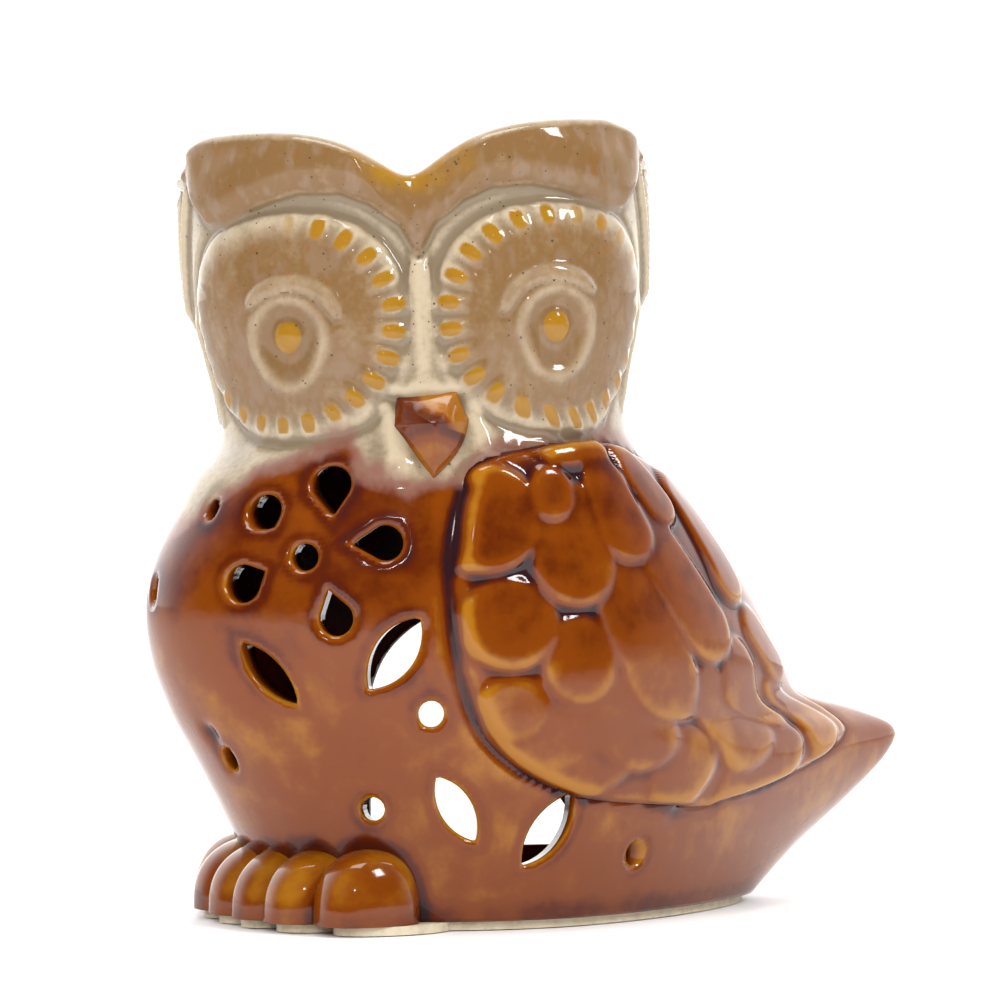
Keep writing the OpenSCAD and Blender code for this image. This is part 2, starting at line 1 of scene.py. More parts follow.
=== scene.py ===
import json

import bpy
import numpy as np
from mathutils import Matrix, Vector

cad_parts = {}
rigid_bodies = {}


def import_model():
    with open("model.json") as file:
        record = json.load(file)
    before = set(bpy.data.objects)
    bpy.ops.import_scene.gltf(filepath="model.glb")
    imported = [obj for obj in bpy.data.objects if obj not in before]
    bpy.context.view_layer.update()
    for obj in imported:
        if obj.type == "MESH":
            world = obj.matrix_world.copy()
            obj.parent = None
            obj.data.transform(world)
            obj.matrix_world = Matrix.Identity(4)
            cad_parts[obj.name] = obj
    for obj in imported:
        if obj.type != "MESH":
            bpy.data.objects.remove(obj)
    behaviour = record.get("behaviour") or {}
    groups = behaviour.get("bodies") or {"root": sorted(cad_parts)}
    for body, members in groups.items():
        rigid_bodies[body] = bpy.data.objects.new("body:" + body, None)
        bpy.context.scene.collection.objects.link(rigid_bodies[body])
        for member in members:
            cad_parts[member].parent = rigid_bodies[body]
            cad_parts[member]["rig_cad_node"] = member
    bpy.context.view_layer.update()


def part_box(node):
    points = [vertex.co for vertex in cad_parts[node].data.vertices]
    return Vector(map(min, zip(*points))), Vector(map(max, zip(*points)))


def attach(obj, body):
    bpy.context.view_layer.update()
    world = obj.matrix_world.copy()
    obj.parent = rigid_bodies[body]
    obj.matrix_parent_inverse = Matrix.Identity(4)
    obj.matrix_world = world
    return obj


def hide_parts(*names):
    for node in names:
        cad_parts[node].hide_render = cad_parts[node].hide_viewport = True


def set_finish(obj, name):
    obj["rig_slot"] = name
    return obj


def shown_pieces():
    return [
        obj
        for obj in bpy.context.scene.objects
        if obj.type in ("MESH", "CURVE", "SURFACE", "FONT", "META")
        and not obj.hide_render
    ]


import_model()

# %% [markdown]
# # A pierced ceramic owl
# The real owl is slip-cast clay: one hollow body, a head open at the top like a cup, and low
# relief for the face, the wings and the feathers, all under a glossy glaze.
# Everything below is worked out in millimetres and turned into metres when a mesh is made.
# The CAD box is kept first, and gives a few heights that the pieces below are built to.

MM = 0.001


def cad_box(node):
    """Lowest and highest corner of a CAD node, in millimetres."""
    low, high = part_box(node)
    return np.array(low) / MM, np.array(high) / MM


FOOT_H = cad_box("foot_ring")[1][2]
NECK_Z = cad_box("body_shell")[1][2]
DISH_UNDER = cad_box("oil_dish")[0][2]
print("foot", FOOT_H, "neck", NECK_Z, "underside of the dish", DISH_UNDER)

# %% [markdown]
# ## The surface of the owl
# Every piece lies on one surface, skin(a, z). The angle a turns about the owl's upright axis and
# z is the height. Sections are stacked, as a potter's templates would be, and a smooth curve
# runs through them. The body's sections are egg shapes that pinch into the tail, the head's are
# rounded squares, and the two melt together through the neck. This is the same rule that the
# CAD model uses, so each piece lands where its CAD part is.

# %% Sections and driving sizes
WALL = 4.0
TAIL = 30.0
HEAD_LEAN = 2.6
LEAN_Z = 110.0
BODY_AT = np.array([-12.9, -1.0])
HEAD_AT = np.array([-22.5, -4.0])
NECK_FROM, NECK_TO = 82.0, 98.0
TAIL_HOLLOW = 62.0
# Height, reach to the breast, reach to the tail, half width, pinch
BODY = np.array([
    [0, 42, 61, 34, 0.30], [10, 44, 73.5, 36.5, 0.45], [20, 49, 88, 38.5, 0.62],
    [28, 53.5, 97.5, 39.8, 0.74], [33, 56.5, 98.5, 40.4, 0.80], [37, 59, 88, 40.8, 0.70],
    [41, 61, 73.5, 41, 0.35], [48, 63.8, 67, 41.2, 0.15], [57, 65.3, 60.5, 41, 0.05],
    [66, 64.3, 53.5, 40.6, 0], [75, 60, 45, 39.8, 0], [84, 55, 35, 38.6, 0],
    [92, 51, 28, 37.6, 0], [104, 50, 26, 37, 0],
])
# Height, half width, half depth, squareness
HEAD = np.array([
    [84, 38.6, 36, 2.1], [92, 38.8, 35.5, 2.2], [100, 39.6, 35.5, 2.4], [108, 41.2, 36, 2.5],
    [116, 42.6, 36, 2.6], [126, 43.4, 36, 2.6], [136, 43.6, 36, 2.6], [150, 43.4, 36, 2.5],
])


def smooth(low, high, x):
    """3 s squared - 2 s cubed, where s runs from 0 at low to 1 at high."""
    s = np.clip((x - low) / (high - low), 0, 1)
    return s * s * (3 - 2 * s)


def within(x, start, full, fading, end):
    """0 below start, 1 from full to fading and 0 again above end, with smooth slopes."""
    return smooth(start, full, x) * (1 - smooth(fading, end, x))


def mix(a, b, w):
    """a + (b - a) w."""
    return a + (b - a) * w


def through(table, x, column):
    """Cubic through the table's rows, whose slope at a row is that of its two neighbours."""
    z, v = table[:, 0], table[:, column]
    last = len(z) - 1
    before = np.maximum(np.arange(last + 1) - 1, 0)
    after = np.minimum(np.arange(last + 1) + 1, last)
    slope = (v[after] - v[before]) / (z[after] - z[before])
    q = np.clip(x, z[0], z[-1])
    i = np.clip(np.searchsorted(z, q, side="right") - 1, 0, last - 1)
    h = z[i + 1] - z[i]
    s = (q - z[i]) / h
    rise = (2 * s**3 - 3 * s**2 + 1) * v[i] + (3 * s**2 - 2 * s**3) * v[i + 1]
    return rise + (s**3 - 2 * s**2 + s) * h * slope[i] + (s**3 - s**2) * h * slope[i + 1]


def turned(along, across):
    """A place beside the body: along points to the tail, across to the owl's right."""
    c, s = np.cos(np.radians(TAIL)), np.sin(np.radians(TAIL))
    return BODY_AT[0] + along * c - across * s, BODY_AT[1] + along * s + across * c


def body_xy(a, z, hollow=False):
    """Two half ellipses: along = reach cos t, across = half width sin t, pinched by cos t ^ 1.5."""
    t = np.radians(a - TAIL)
    back = through(BODY, z, 2)
    front = through(BODY, z, 1)
    half = through(BODY, z, 3)
    rear = np.maximum(np.cos(t), 0)
    if hollow:
        reach = np.where(np.cos(t) > 0, np.minimum(back, TAIL_HOLLOW), front) - WALL
        return turned(reach * np.cos(t), (half - WALL) * np.sin(t))
    pinch = 1 - through(BODY, z, 4) * rear**1.5
    return turned(np.where(np.cos(t) > 0, back, front) * np.cos(t), half * np.sin(t) * pinch)


def head_xy(a, z, inset=0.0):
    """Superellipse: r = (|cos a / w|^n + |sin a / d|^n) ^ (-1 / n)."""
    w, d, n = through(HEAD, z, 1) - inset, through(HEAD, z, 2) - inset, through(HEAD, z, 3)
    c, s = np.cos(np.radians(a)), np.sin(np.radians(a))
    r = (np.abs(c / w) ** n + np.abs(s / d) ** n) ** (-1 / n)
    return HEAD_AT[0] + r * c, HEAD_AT[1] + r * s


def leaned(x, y, z, share):
    """Turns a point about the head's middle, in the X-Z plane, by the head's lean times share."""
    r = np.radians(HEAD_LEAN) * share
    dx, dz = x - HEAD_AT[0], z - LEAN_Z
    return np.stack([HEAD_AT[0] + dx * np.cos(r) - dz * np.sin(r), y,
                     LEAN_Z + dx * np.sin(r) + dz * np.cos(r)], -1)


def skin(a, z, hollow=False):
    """The owl's surface: body below, head above, mixed through the neck."""
    a, z = np.broadcast_arrays(np.asarray(a, float), np.asarray(z, float))
    share = smooth(NECK_FROM, NECK_TO, z)
    bx, by = body_xy(a, z, hollow)
    hx, hy = head_xy(a, z, WALL if hollow else 0.0)
    return leaned(mix(bx, hx, share), mix(by, hy, share), z, share)


def unit(v):
    """Each vector divided by its length."""
    return v / np.maximum(np.linalg.norm(v, axis=-1, keepdims=True), 1e-9)


def normal_of(place, a, z, step=0.6):
    """Outward direction of place(a, z): the cross product of its two slopes."""
    across = place(a + step, z) - place(a - step, z)
    up = place(a, z + step / 2) - place(a, z - step / 2)
    return unit(np.cross(across, up))


def around(a):
    """The same angle, from -180 up to 180."""
    return (a + 180) % 360 - 180


def twin(a):
    """The same place on the owl's other side."""
    return around(2 * (TAIL + 180) - a)


widest = skin(np.arange(0, 360, 2.0), 33.0)
print("tail section spans", np.ptp(widest[:, 0]), "by", np.ptp(widest[:, 1]), "mm")

# %% [markdown]
# ## Relief as height maps
# A mould maker carves the face and the feathers into the mould as heights above the plain form.
# The same is done here: a height map is an array over two surface coordinates, each mark adds its
# own rounded bump, and a slight blur softens it, as slip softens a cast. A wider blur of the same
# map also tells where glaze pools: a hollow lies below its blurred neighbourhood.

# %% Height map helpers
def blurred(values, radius):
    """Gaussian blur along both axes. radius is its standard deviation in cells."""
    reach = int(3 * radius) + 1
    taps = np.arange(-reach, reach + 1)
    weight = np.exp(-(taps / radius) ** 2 / 2)
    weight /= weight.sum()
    padded = np.pad(values, reach, mode="edge")
    rows, columns = values.shape
    along = sum(w * padded[:, reach + t:reach + t + columns] for t, w in zip(taps, weight))
    return sum(w * along[reach + t:reach + t + rows] for t, w in zip(taps, weight))


class HeightMap:
    """Values on a regular grid over (x, z), read back between the cells."""

    def __init__(self, x_range, z_range, cell, rule):
        self.x0, self.z0, self.cell = x_range[0], z_range[0], cell
        x = np.arange(x_range[0], x_range[1] + cell, cell)
        z = np.arange(z_range[0], z_range[1] + cell, cell)
        self.values = rule(*np.meshgrid(x, z))

    def at(self, values, x, z):
        """Bilinear reading of an array of this map."""
        u = np.clip((x - self.x0) / self.cell, 0, values.shape[1] - 1.001)
        v = np.clip((z - self.z0) / self.cell, 0, values.shape[0] - 1.001)
        i, j = u.astype(int), v.astype(int)
        s, t = u - i, v - j
        low = values[j, i] * (1 - s) + values[j, i + 1] * s
        high = values[j + 1, i] * (1 - s) + values[j + 1, i + 1] * s
        return low * (1 - t) + high * t


def dome(q, power=2.0):
    """A bump that is 1 at q = 0 and rounds down to 0 at q = 1."""
    return np.sqrt(np.clip(1 - np.abs(q) ** power, 0, 1))


def bell(q):
    """exp(-q squared)."""
    return np.exp(-q * q)


# %% [markdown]
# ## The face
# Two wide discs stand proud of the head. Each holds an eye in a drop-shaped ring, a lid above it
# and short rays near its rim. A ridge runs between them to the beak, and thick brows meet in a V.
# Each mark is a formula of x, the distance from the middle of the face, and the height z. The
# footprints, which say where one moulded mark ends and the next begins, are formulas as well.

# %% Face marks
FACE_X = 1.2
DISC_X, DISC_Z, DISC_W, DISC_HALF, DISC_H = 25.0, 111.2, 23.0, 21.2, 3.2
EYE_X, EYE_Z = 23.8, 109.6
RING_X, RING_Z = 6.2, 6.7
LID_R = 8.9
PUPIL_R, PUPIL_TALL = 2.6, 1.15
RAYS = 24
EAR_X, EAR_LOW, EAR_TOP = 57.0, 114.0, 141.5
BROW_U = np.array([0, 3.3, 8.7, 14, 21, 26, 31, 36, 40, 44, 48, 52, 56])
BROW_LOW = np.array([
    122.5, 128.6, 132.7, 134.9, 135.2, 134.2, 132.4, 130.6, 130.6, 134.0, 140.5, 147, 153,
])
PEAK_LOW = 122.8


def face_x(a):
    """Distance along the surface from the middle of the face."""
    q = np.radians(around(a) + 90)
    return np.sign(q) * 36 * np.abs(q) / np.maximum(1 - 0.08 * np.abs(q), 0.4) - FACE_X


def disc_r(x, z):
    """0 at the middle of a face disc and 1 on its outline."""
    u, v = np.abs(np.abs(x) - DISC_X) / DISC_W, np.abs(z - DISC_Z) / DISC_HALF
    return (u**2.4 + v**2.4) ** (1 / 2.4)


def eye_r(x, z):
    """0 at the eye and 1 along the crest of its drop-shaped ring."""
    u, v = (np.abs(x) - EYE_X) / RING_X, (z - EYE_Z) / RING_Z
    return np.hypot(u, v / (1 + 0.28 * np.clip(-v, 0, 1)))


def pupil_d(x, z):
    """Distance from the middle of the eye, measured shorter upwards because the pupil is tall."""
    return np.hypot(np.abs(x) - EYE_X, (z - EYE_Z) / PUPIL_TALL)


def lid_r(x, z):
    """0 along the lid's arc and 1 on its edge. The lid thins towards its two ends."""
    u, v = np.abs(x) - EYE_X + 0.4, z - EYE_Z - 0.6
    turn = np.degrees(np.arctan2(v, -u))
    half = 1.75 * dome((turn - 78) / 66, 3) + 1e-3
    return np.abs(np.hypot(u, v) - LID_R) / half


def ray_marks(x, z):
    """The highest of the short rays: each is a bell, long towards the eye and narrow across."""
    best = np.zeros_like(x)
    for k in range(RAYS):
        t = 2 * np.pi * (k + 0.35) / RAYS
        reach = 0.885 - 0.05 * bell((np.cos(t) + 0.6) / 0.4) * (np.sin(t) < 0)
        du = np.abs(x) - DISC_X - DISC_W * reach * np.cos(t)
        dv = z - DISC_Z - DISC_HALF * reach * np.sin(t)
        along = du * np.cos(t) + dv * np.sin(t)
        across = dv * np.cos(t) - du * np.sin(t)
        best = np.maximum(best, np.exp(-(along / 2.8) ** 2 - (across / 1.55) ** 4))
    return best


def outer_share(x, z):
    """1 on the upper outer part of a disc, where the rays are hardly raised."""
    return smooth(14, 28, np.abs(x)) * smooth(96, 108, z)


def nose_half(z):
    """Half width of the ridge of the nose, which spreads round the beak."""
    return 2.9 + 5.4 * (1 - smooth(97.5, 109, z)) - 1.2 * smooth(116, 124, z)


def brow_v(x, z):
    """Height above the brow's lower edge, in millimetres."""
    return z - np.interp(np.abs(x), BROW_U, BROW_LOW)


def peak_v(x, z):
    """How far inside the V between the brows."""
    return (z - PEAK_LOW) / 1.9 - np.abs(x - 0.3)


def ear_d(x, z):
    """Distance inside the ear's triangle, which is wide above and pointed below."""
    lift = (z - EAR_LOW) / (EAR_TOP - EAR_LOW)
    inner, outer = np.abs(x) - (EAR_X - 11 * lift), (EAR_X + 12 * lift) - np.abs(x)
    return np.minimum(np.minimum(inner, outer) * 0.93, EAR_TOP - z)


def face_rule(x, z):
    """Sum of the face's marks in millimetres above the plain head."""
    disc = DISC_H * np.clip(1 - disc_r(x, z) ** 2.6, 0, 1) ** 0.6
    groove = -0.35 * bell((disc_r(x, z) - 1.03) / 0.05) * (z < 137)
    q = eye_r(x, z)
    hollow = -0.55 * bell(np.hypot(np.abs(x) - EYE_X, z - EYE_Z) / 10.5)
    ring = 0.85 * bell((q - 1.02) / 0.19) - 0.35 * (1 - smooth(0.5, 0.95, q))
    tear = 0.5 * bell(np.hypot((np.abs(x) - EYE_X) / 4.5, (z - EYE_Z + 12) / 4.5))
    pupil = 1.25 * dome(pupil_d(x, z) / PUPIL_R)
    lid = 0.95 * dome(lid_r(x, z))
    rays = 0.75 * ray_marks(x, z) * (disc_r(x, z) < 1.02) * (1 - 0.75 * outer_share(x, z))
    side = np.abs(x) / nose_half(z)
    nose = 2.1 * dome(side) * within(z, 96, 99, 119, 125)
    crease = -0.35 * bell((x - 0.2) / 0.4) * within(z, 104, 107, 118, 122)
    collar_x = np.interp(z, [82, 98], [5.4, 8.6])
    collar = 1.3 * bell((np.abs(x - 0.6) - collar_x) / 2.1) * within(z, 81, 85, 96, 99)
    lift = brow_v(x, z)
    brow = 2.7 * dome(1 - np.clip(lift / 5.5, 0, 1)) * (1 - 0.5 * smooth(8, 15, lift))
    brow = np.where(lift > 0, brow, 0) * (1 - 0.8 * smooth(42, 51, np.abs(x)))
    peak = peak_v(x, z)
    valley = -1.15 * smooth(-0.6, 1.6, peak) - 0.45 * bell((peak + 0.2) / 0.6) * (peak > -3)
    ripples = 0.10 * np.sin(2 * np.pi * peak / 1.5) * smooth(0.2, 1, peak)
    ripples = ripples * (1 - smooth(129, 133, z))
    deep = ear_d(x, z)
    ear = 1.5 * bell((deep - 0.9) / 1.1) - 0.7 * smooth(1.6, 3.2, deep)
    ear_root_x = 51.5 + 0.12 * (z - 112)
    ear_root = 0.7 * bell((np.abs(x) - ear_root_x) / 1.3) * within(z, 92, 98, 112, 117)
    body = np.maximum(np.maximum(disc + hollow + ring + tear, nose + crease), collar)
    body = body + np.maximum(lid, 0) + rays + np.maximum(pupil, 0)
    above = np.maximum(body, brow) + (valley + ripples) * (lift > -1)
    return above + groove + ear + ear_root


face_map = HeightMap((-76, 76), (74, 154), 0.25, face_rule)
face_height = blurred(face_map.values, 1.3)
face_pool = blurred(face_map.values, 5) - face_height
print("face relief from", round(face_height.min(), 2), "to", round(face_height.max(), 2), "mm")

# %% [markdown]
# ## The wing and its feathers
# The wing is a low pad whose front edge stands up behind a wide groove. Its feathers are tongues
# that overlap like roof tiles, so each is highest at its tip. Taking the highest tongue at every
# point gives the steps between them, and also says which group of feathers is on top there.

# %% Wing outline and feathers
# Height, angle of the front edge, angle of the rear edge
WING = np.array([
    [21.5, -42, -36], [23.5, -56, -27], [28.5, -70, -13], [34, -77, -4], [39, -79.5, 2],
    [46, -81, 9], [56, -82, 14], [68, -82.5, 15], [80, -82, 5], [86, -78.5, -20], [89.3, -55, -42],
])
WING_T = 1.4
# Angle and height of the root, angle and height of the tip, width in millimetres, layer
SHOULDER = np.array([
    [-66, 86, -44, 87.5, 4.6, 6], [-77.5, 85, -76.5, 64.8, 19.6, 5],
    [-66, 85, -65.5, 74.3, 9.4, 6], [-59, 82, -62.5, 58.8, 19.0, 4.4],
    [-53, 87, -46, 67, 12.0, 5.2], [-39, 88, -31, 73.6, 9.6, 4.8],
])
COVERT = np.array([
    [-73, 65, -73.5, 47.4, 21.0, 3.5], [-60, 58, -61.5, 41.0, 16.0, 3],
    [-73, 47, -73, 34.6, 15.4, 2.4], [-52, 48, -52, 28.4, 21.5, 2.2],
])
FLIGHT = np.array([
    [-53, 68, -41, 38.2, 17.6, 3.6], [-44, 78, -28, 48.8, 14.4, 4.3],
    [-19, 84, -17, 58.6, 9.6, 4.7], [-22, 53, -26, 34.2, 13.0, 3.2],
    [-31, 48, -36, 27.4, 20.0, 2.0], [-15, 58, -5, 43.4, 9.4, 3.3],
])
HEM = np.array([
    [-8, 44, -18, 29.4, 11.4, 2.2], [-67, 47, -63, 29.4, 18.6, 1.2],
    [-66, 42, -58, 24.4, 20.0, 0.8], [-47, 36, -42.5, 21.2, 21.0, 0.6],
    [-28, 37, -23.5, 22.2, 18.0, 1.1], [-36, 30, -30, 20.2, 15.0, 0.3],
    [-77, 40, -70, 27, 11.0, 1.0],
])
GROUPS = [SHOULDER, COVERT, FLIGHT, HEM]


def mm_per_degree(a, z):
    """How far the surface moves for one degree."""
    return np.linalg.norm(skin(a + 0.5, z) - skin(a - 0.5, z), axis=-1)


def tongue(feather, a, z):
    """Height of one feather: rounded at its rim, and climbing along it to the tip."""
    a0, z0, a1, z1, width, layer = feather
    scale = mm_per_degree((a0 + a1) / 2, (z0 + z1) / 2)
    run = np.array([(a1 - a0) * scale, z1 - z0])
    length = np.hypot(*run)
    dx, dz = (a - a0) * scale, z - z0
    along = (dx * run[0] + dz * run[1]) / length
    across = np.abs(dx * run[1] - dz * run[0]) / length
    half = width / 2
    past = np.clip(along - (length - half), 0, None)
    behind = np.clip(half - along, 0, None)
    edge = half - np.hypot(across, past + behind)
    rim = dome(1 - np.clip(edge / 1.5, 0, 1), 2.4)
    crown = 0.12 * np.clip(edge / half, 0, 1)
    height = 0.35 + 0.26 * layer + 0.75 * smooth(0, length, along)
    return np.where(edge > 0, (height + crown) * rim, 0)


def wing_edge(a, z):
    """Distance inside the wing's outline, in millimetres."""
    scale = np.minimum(mm_per_degree(a, z), 1.15)
    front, rear = through(WING, z, 1), through(WING, z, 2)
    sides = np.minimum(a - front, rear - a) * scale
    return np.minimum(sides, np.minimum(z - WING[0, 0] + 1.2, WING[-1, 0] + 0.8 - z))


def wing_rule(a, z):
    """The pad, the highest feather on it and the groove round it."""
    edge = wing_edge(a, z)
    pad = WING_T * dome(1 - np.clip(edge / 2.4, 0, 1))
    best = np.zeros_like(a)
    for group in GROUPS:
        for feather in group:
            best = np.maximum(best, tongue(feather, a, z))
    inside = smooth(-0.5, 2.2, edge)
    front = smooth(-30, -75, a)
    groove = -0.8 * bell((edge + 0.9) / 1.5) * (0.35 + 0.65 * front)
    return pad * 0.55 + 0.62 * best * inside + groove


def feather_group(a, z):
    """1 to 4 for the group whose feather is highest, and 0 for the bare pad."""
    tops = [np.max([tongue(f, a, z) for f in group], axis=0) for group in GROUPS]
    best = np.max(tops, axis=0)
    return np.where(best > 0.25, np.argmax(tops, axis=0) + 1, 0)


wing_map = HeightMap((-100, 40), (12, 98), 0.25, wing_rule)
wing_height = blurred(wing_map.values, 2.1)
wing_pool = blurred(wing_map.values, 6) - wing_height
print("wing relief up to", round(wing_height.max(), 2), "mm")


def side_angle(a):
    """Angle on the left wing's map: the right wing is its mirror image."""
    a = around(a)
    return np.where((a > TAIL) | (a < TAIL - 180), twin(a), a)


def wing_share(a, z):
    """1 where a wing's relief applies. The right wing stops above the lowest holes."""
    b = side_angle(a)
    share = within(z, 14, 18, 89, 92) * (np.abs(b + 32) < 64)
    return share * np.where(b == around(a), 1, smooth(61.5, 64, z))


def both_maps(face_values, wing_values, a, z):
    """The face's map above and in front, plus the wing's map on both sides."""
    on_face = smooth(78, 82, z) * (np.abs(around(a) + 90) < 95)
    face = face_map.at(face_values, face_x(a), z) * on_face
    return face + wing_map.at(wing_values, side_angle(a), z) * wing_share(a, z)


def relief(a, z):
    """Height of the marks, the wing's groove and the feathers above the plain skin."""
    return both_maps(face_height, wing_height, a, z)


def pooling(a, z):
    """How far the surface lies below its neighbourhood: positive in hollows."""
    return both_maps(face_pool, wing_pool, a, z)


def sculpted(a, z):
    """The skin with its relief on it."""
    return skin(a, z) + normal_of(skin, a, z) * relief(a, z)[..., None]


# %% [markdown]
# ## From arrays to meshes
# A grid of points becomes four-sided faces, and the corners that touch a hole or the edge of a
# mark are slid on to that edge, so outlines stay smooth on a coarse grid. Each corner carries a
# few numbers that the glaze reads: how deep it pools, how far it is above the line where brown
# glaze meets cream, and how much of the amber and tan glaze lies there.

# %% Faces of a grid
MARKS = ("pool", "line", "nub", "tan")
# How far through a lens the dents go where another piece lies on it
DENT_SHARE = 0.7


def grid_quads(rows, columns):
    """Corner numbers of a grid's faces. The columns close into a ring."""
    j, i = np.meshgrid(np.arange(rows - 1), np.arange(columns), indexing="ij")
    k = (i + 1) % columns
    corners = [j * columns + i, j * columns + k, (j + 1) * columns + k, (j + 1) * columns + i]
    return np.stack(corners, -1)


def unwrapped(a):
    """The angles of each face's corners, without the jump from 180 to -180."""
    return np.where(a - a[..., :1] < -180, a + 360, a)


def open_edges(faces):
    """Directed edges that only one face uses."""
    starts, ends = faces.ravel(), np.roll(faces, -1, axis=1).ravel()
    count = int(faces.max()) + 1
    here = starts.astype(np.int64) * count + ends
    back = ends.astype(np.int64) * count + starts
    alone = ~np.isin(here, back)
    return np.stack([starts[alone], ends[alone]], -1)

# %% A mesh object
def make_piece(name, points, faces, marks, normals=None):
    """A mesh object from points in millimetres, lists of faces, and the glaze's numbers."""
    loops = np.concatenate([f.ravel() for f in faces])
    sizes = np.concatenate([np.full(len(f), f.shape[1]) for f in faces])
    used, loops = np.unique(loops, return_inverse=True)
    mesh = bpy.data.meshes.new(name)
    mesh.vertices.add(len(used))
    mesh.vertices.foreach_set("co", (points[used] * MM).astype(np.float32).ravel())
    mesh.loops.add(len(loops))
    mesh.loops.foreach_set("vertex_index", loops.astype(np.int32))
    mesh.polygons.add(len(sizes))
    starts = np.concatenate([[0], np.cumsum(sizes)[:-1]])
    mesh.polygons.foreach_set("loop_start", starts.astype(np.int32))
    for mark in MARKS:
        values = np.broadcast_to(marks.get(mark, 0.0), len(points))[used]
        layer = mesh.attributes.new(mark, "FLOAT", "POINT")
        layer.data.foreach_set("value", values.astype(np.float32))
    mesh.update(calc_edges=True)
    mesh.validate()
    mesh.polygons.foreach_set("use_smooth", np.ones(len(mesh.polygons), bool))
    if normals is not None:
        mesh.normals_split_custom_set_from_vertices(normals[used].astype(np.float32))
    piece = bpy.data.objects.new(name, mesh)
    bpy.context.scene.collection.objects.link(piece)
    print(name, len(mesh.polygons), "faces,", np.round(np.ptp(points[used], axis=0), 1), "mm")
    return piece

# %% A closed lens of clay
def four_sides(quads, peak):
    """Each quad as four triangles that meet at its own extra point."""
    return [np.stack([quads[:, i], quads[:, (i + 1) % 4], peak], -1) for i in range(4)]


def closed_lens(top, under, quads, covered, carrying=None):
    """Points, faces and the corner each point takes its marks from, for a lens of clay.

    Top and underside share the border's corners. A face with three or four corners on the
    border gets a small pyramid beneath it, so that its two sides stay apart. Faces marked as
    carrying lie against another piece, and dip under it in the same way.
    """
    count = len(top)
    corner = np.arange(count)
    below = np.where(covered, corner + count, corner)
    flat = covered[quads].sum(axis=1) < 2
    thin = quads[flat]
    peaks = 2 * under[thin].mean(axis=1) - top[thin].mean(axis=1)
    peak = 2 * count + np.arange(len(thin))
    sides = [side[:, ::-1] for side in four_sides(below[thin], peak)]
    points = np.concatenate([top, under, peaks])
    source = np.concatenate([corner, corner, thin[:, 0]])
    if carrying is None:
        return points, [quads, below[quads[~flat]][:, ::-1]] + sides, source
    bed = quads[carrying]
    dents = mix(top[bed].mean(axis=1), under[bed].mean(axis=1), DENT_SHARE)
    dent = len(points) + np.arange(len(bed))
    faces = [quads[~carrying]] + four_sides(bed, dent) + [below[quads[~flat]][:, ::-1]] + sides
    return np.concatenate([points, dents]), faces, np.concatenate([source, bed[:, 0]])

# %% Spacing the columns, and sliding corners on to an edge
def columns(z, spacing):
    """Angles round the section at height z, spaced as spacing(angle) asks, in millimetres."""
    a = np.linspace(-180, 180, 2881)
    middle = (a[1:] + a[:-1]) / 2
    steps = mm_per_degree(middle, z) * (a[1] - a[0]) / spacing(middle)
    run = np.concatenate([[0], np.cumsum(steps)])
    count = int(round(run[-1]))
    return np.interp(np.arange(count) * run[-1] / count, run, a)


def slide_to(distance, a, z, chosen, passes=4):
    """Slides the chosen corners along the surface until distance(a, z) is 0 there."""
    step = 0.06
    for _ in range(passes):
        ca, cz = a[chosen], z[chosen]
        d = distance(ca, cz)
        scale = mm_per_degree(ca, cz)
        da = (distance(ca + step, cz) - distance(ca - step, cz)) / (2 * step) / scale
        dz = (distance(ca, cz + step) - distance(ca, cz - step)) / (2 * step)
        move = np.clip(d / np.maximum(da * da + dz * dz, 0.05), -0.6, 0.6)
        a[chosen] = ca - move * da / scale
        z[chosen] = cz - move * dz

# %% The wavy line where cream meets brown
LINE_TURNS = np.array([
    -180, -160, -145, -130, -118, -110, -104, -98, -92, -86, -80, -72, -50, -30, 0, 60, 120, 180,
])
LINE_LEVEL = np.array([
    71, 71, 76, 83, 87, 88.5, 84, 81.5, 79.5, 81.5, 85, 87, 88, 88, 87, 86, 83, 71,
])


def glaze_line(a, z):
    """Height above the wavy line where the head's cream glaze has run on to the brown."""
    return z - np.interp(around(a), LINE_TURNS, LINE_LEVEL)


# %% [markdown]
# ## The pierced body
# On the real owl the potter cuts petals, leaves and drilled dots through the leather-hard wall,
# and a wide arch at the back for the candle. A boolean cut would leave ragged shading, so the
# holes are cut in the grid itself: faces inside a hole are left out, the corners round it slide
# on to its outline, and a short wall joins the outer skin to the inner one.

# %% Holes
# Angle, height, width, length, turn, kind: 0 petal, 1 leaf, 2 round
HOLES = [
    (-109.5, 80.5, 7.6, 10.2, 6, 0), (-97, 71, 6.6, 9.6, -88, 0), (-103.5, 58.5, 6.4, 8.8, 196, 0),
    (-122.5, 64, 7.2, 8.6, 118, 0), (-123.5, 76.5, 7, 7.6, 38, 0),
    (-118.5, 47.3, 5.6, 15.5, 42, 1), (-93, 51, 7.6, 16, -36, 1),
    (-86.5, 22.5, 6, 14.5, 32, 1), (-65.5, 18.3, 7, 16.5, -36, 1),
    (-110.5, 68.5, 5.2, 5.2, 0, 2), (-88, 40, 4.8, 4.8, 0, 2), (-105.5, 22.5, 4.6, 4.6, 0, 2),
    (-48, 12.8, 4.8, 4.8, 0, 2), (-141, 77.2, 3.4, 4.6, 20, 2), (-156, 62, 4, 5, 0, 2),
    (-141, 31, 4, 5, -20, 2),
]
MIRRORED = (0, 1, 2, 3, 4, 5, 9, 11)
HOLES += [(float(twin(a)), z, w, l, -spin, kind)
          for a, z, w, l, spin, kind in (HOLES[i] for i in MIRRORED)]
# A hole acts only this near its own middle: across the skin, and through the wall
HOLE_REACH, HOLE_DEPTH = 16, 12
DIMPLE_A, DIMPLE_Z, DIMPLE_R, DIMPLE_DEPTH = -142.6, 35.6, 1.9, 1.1
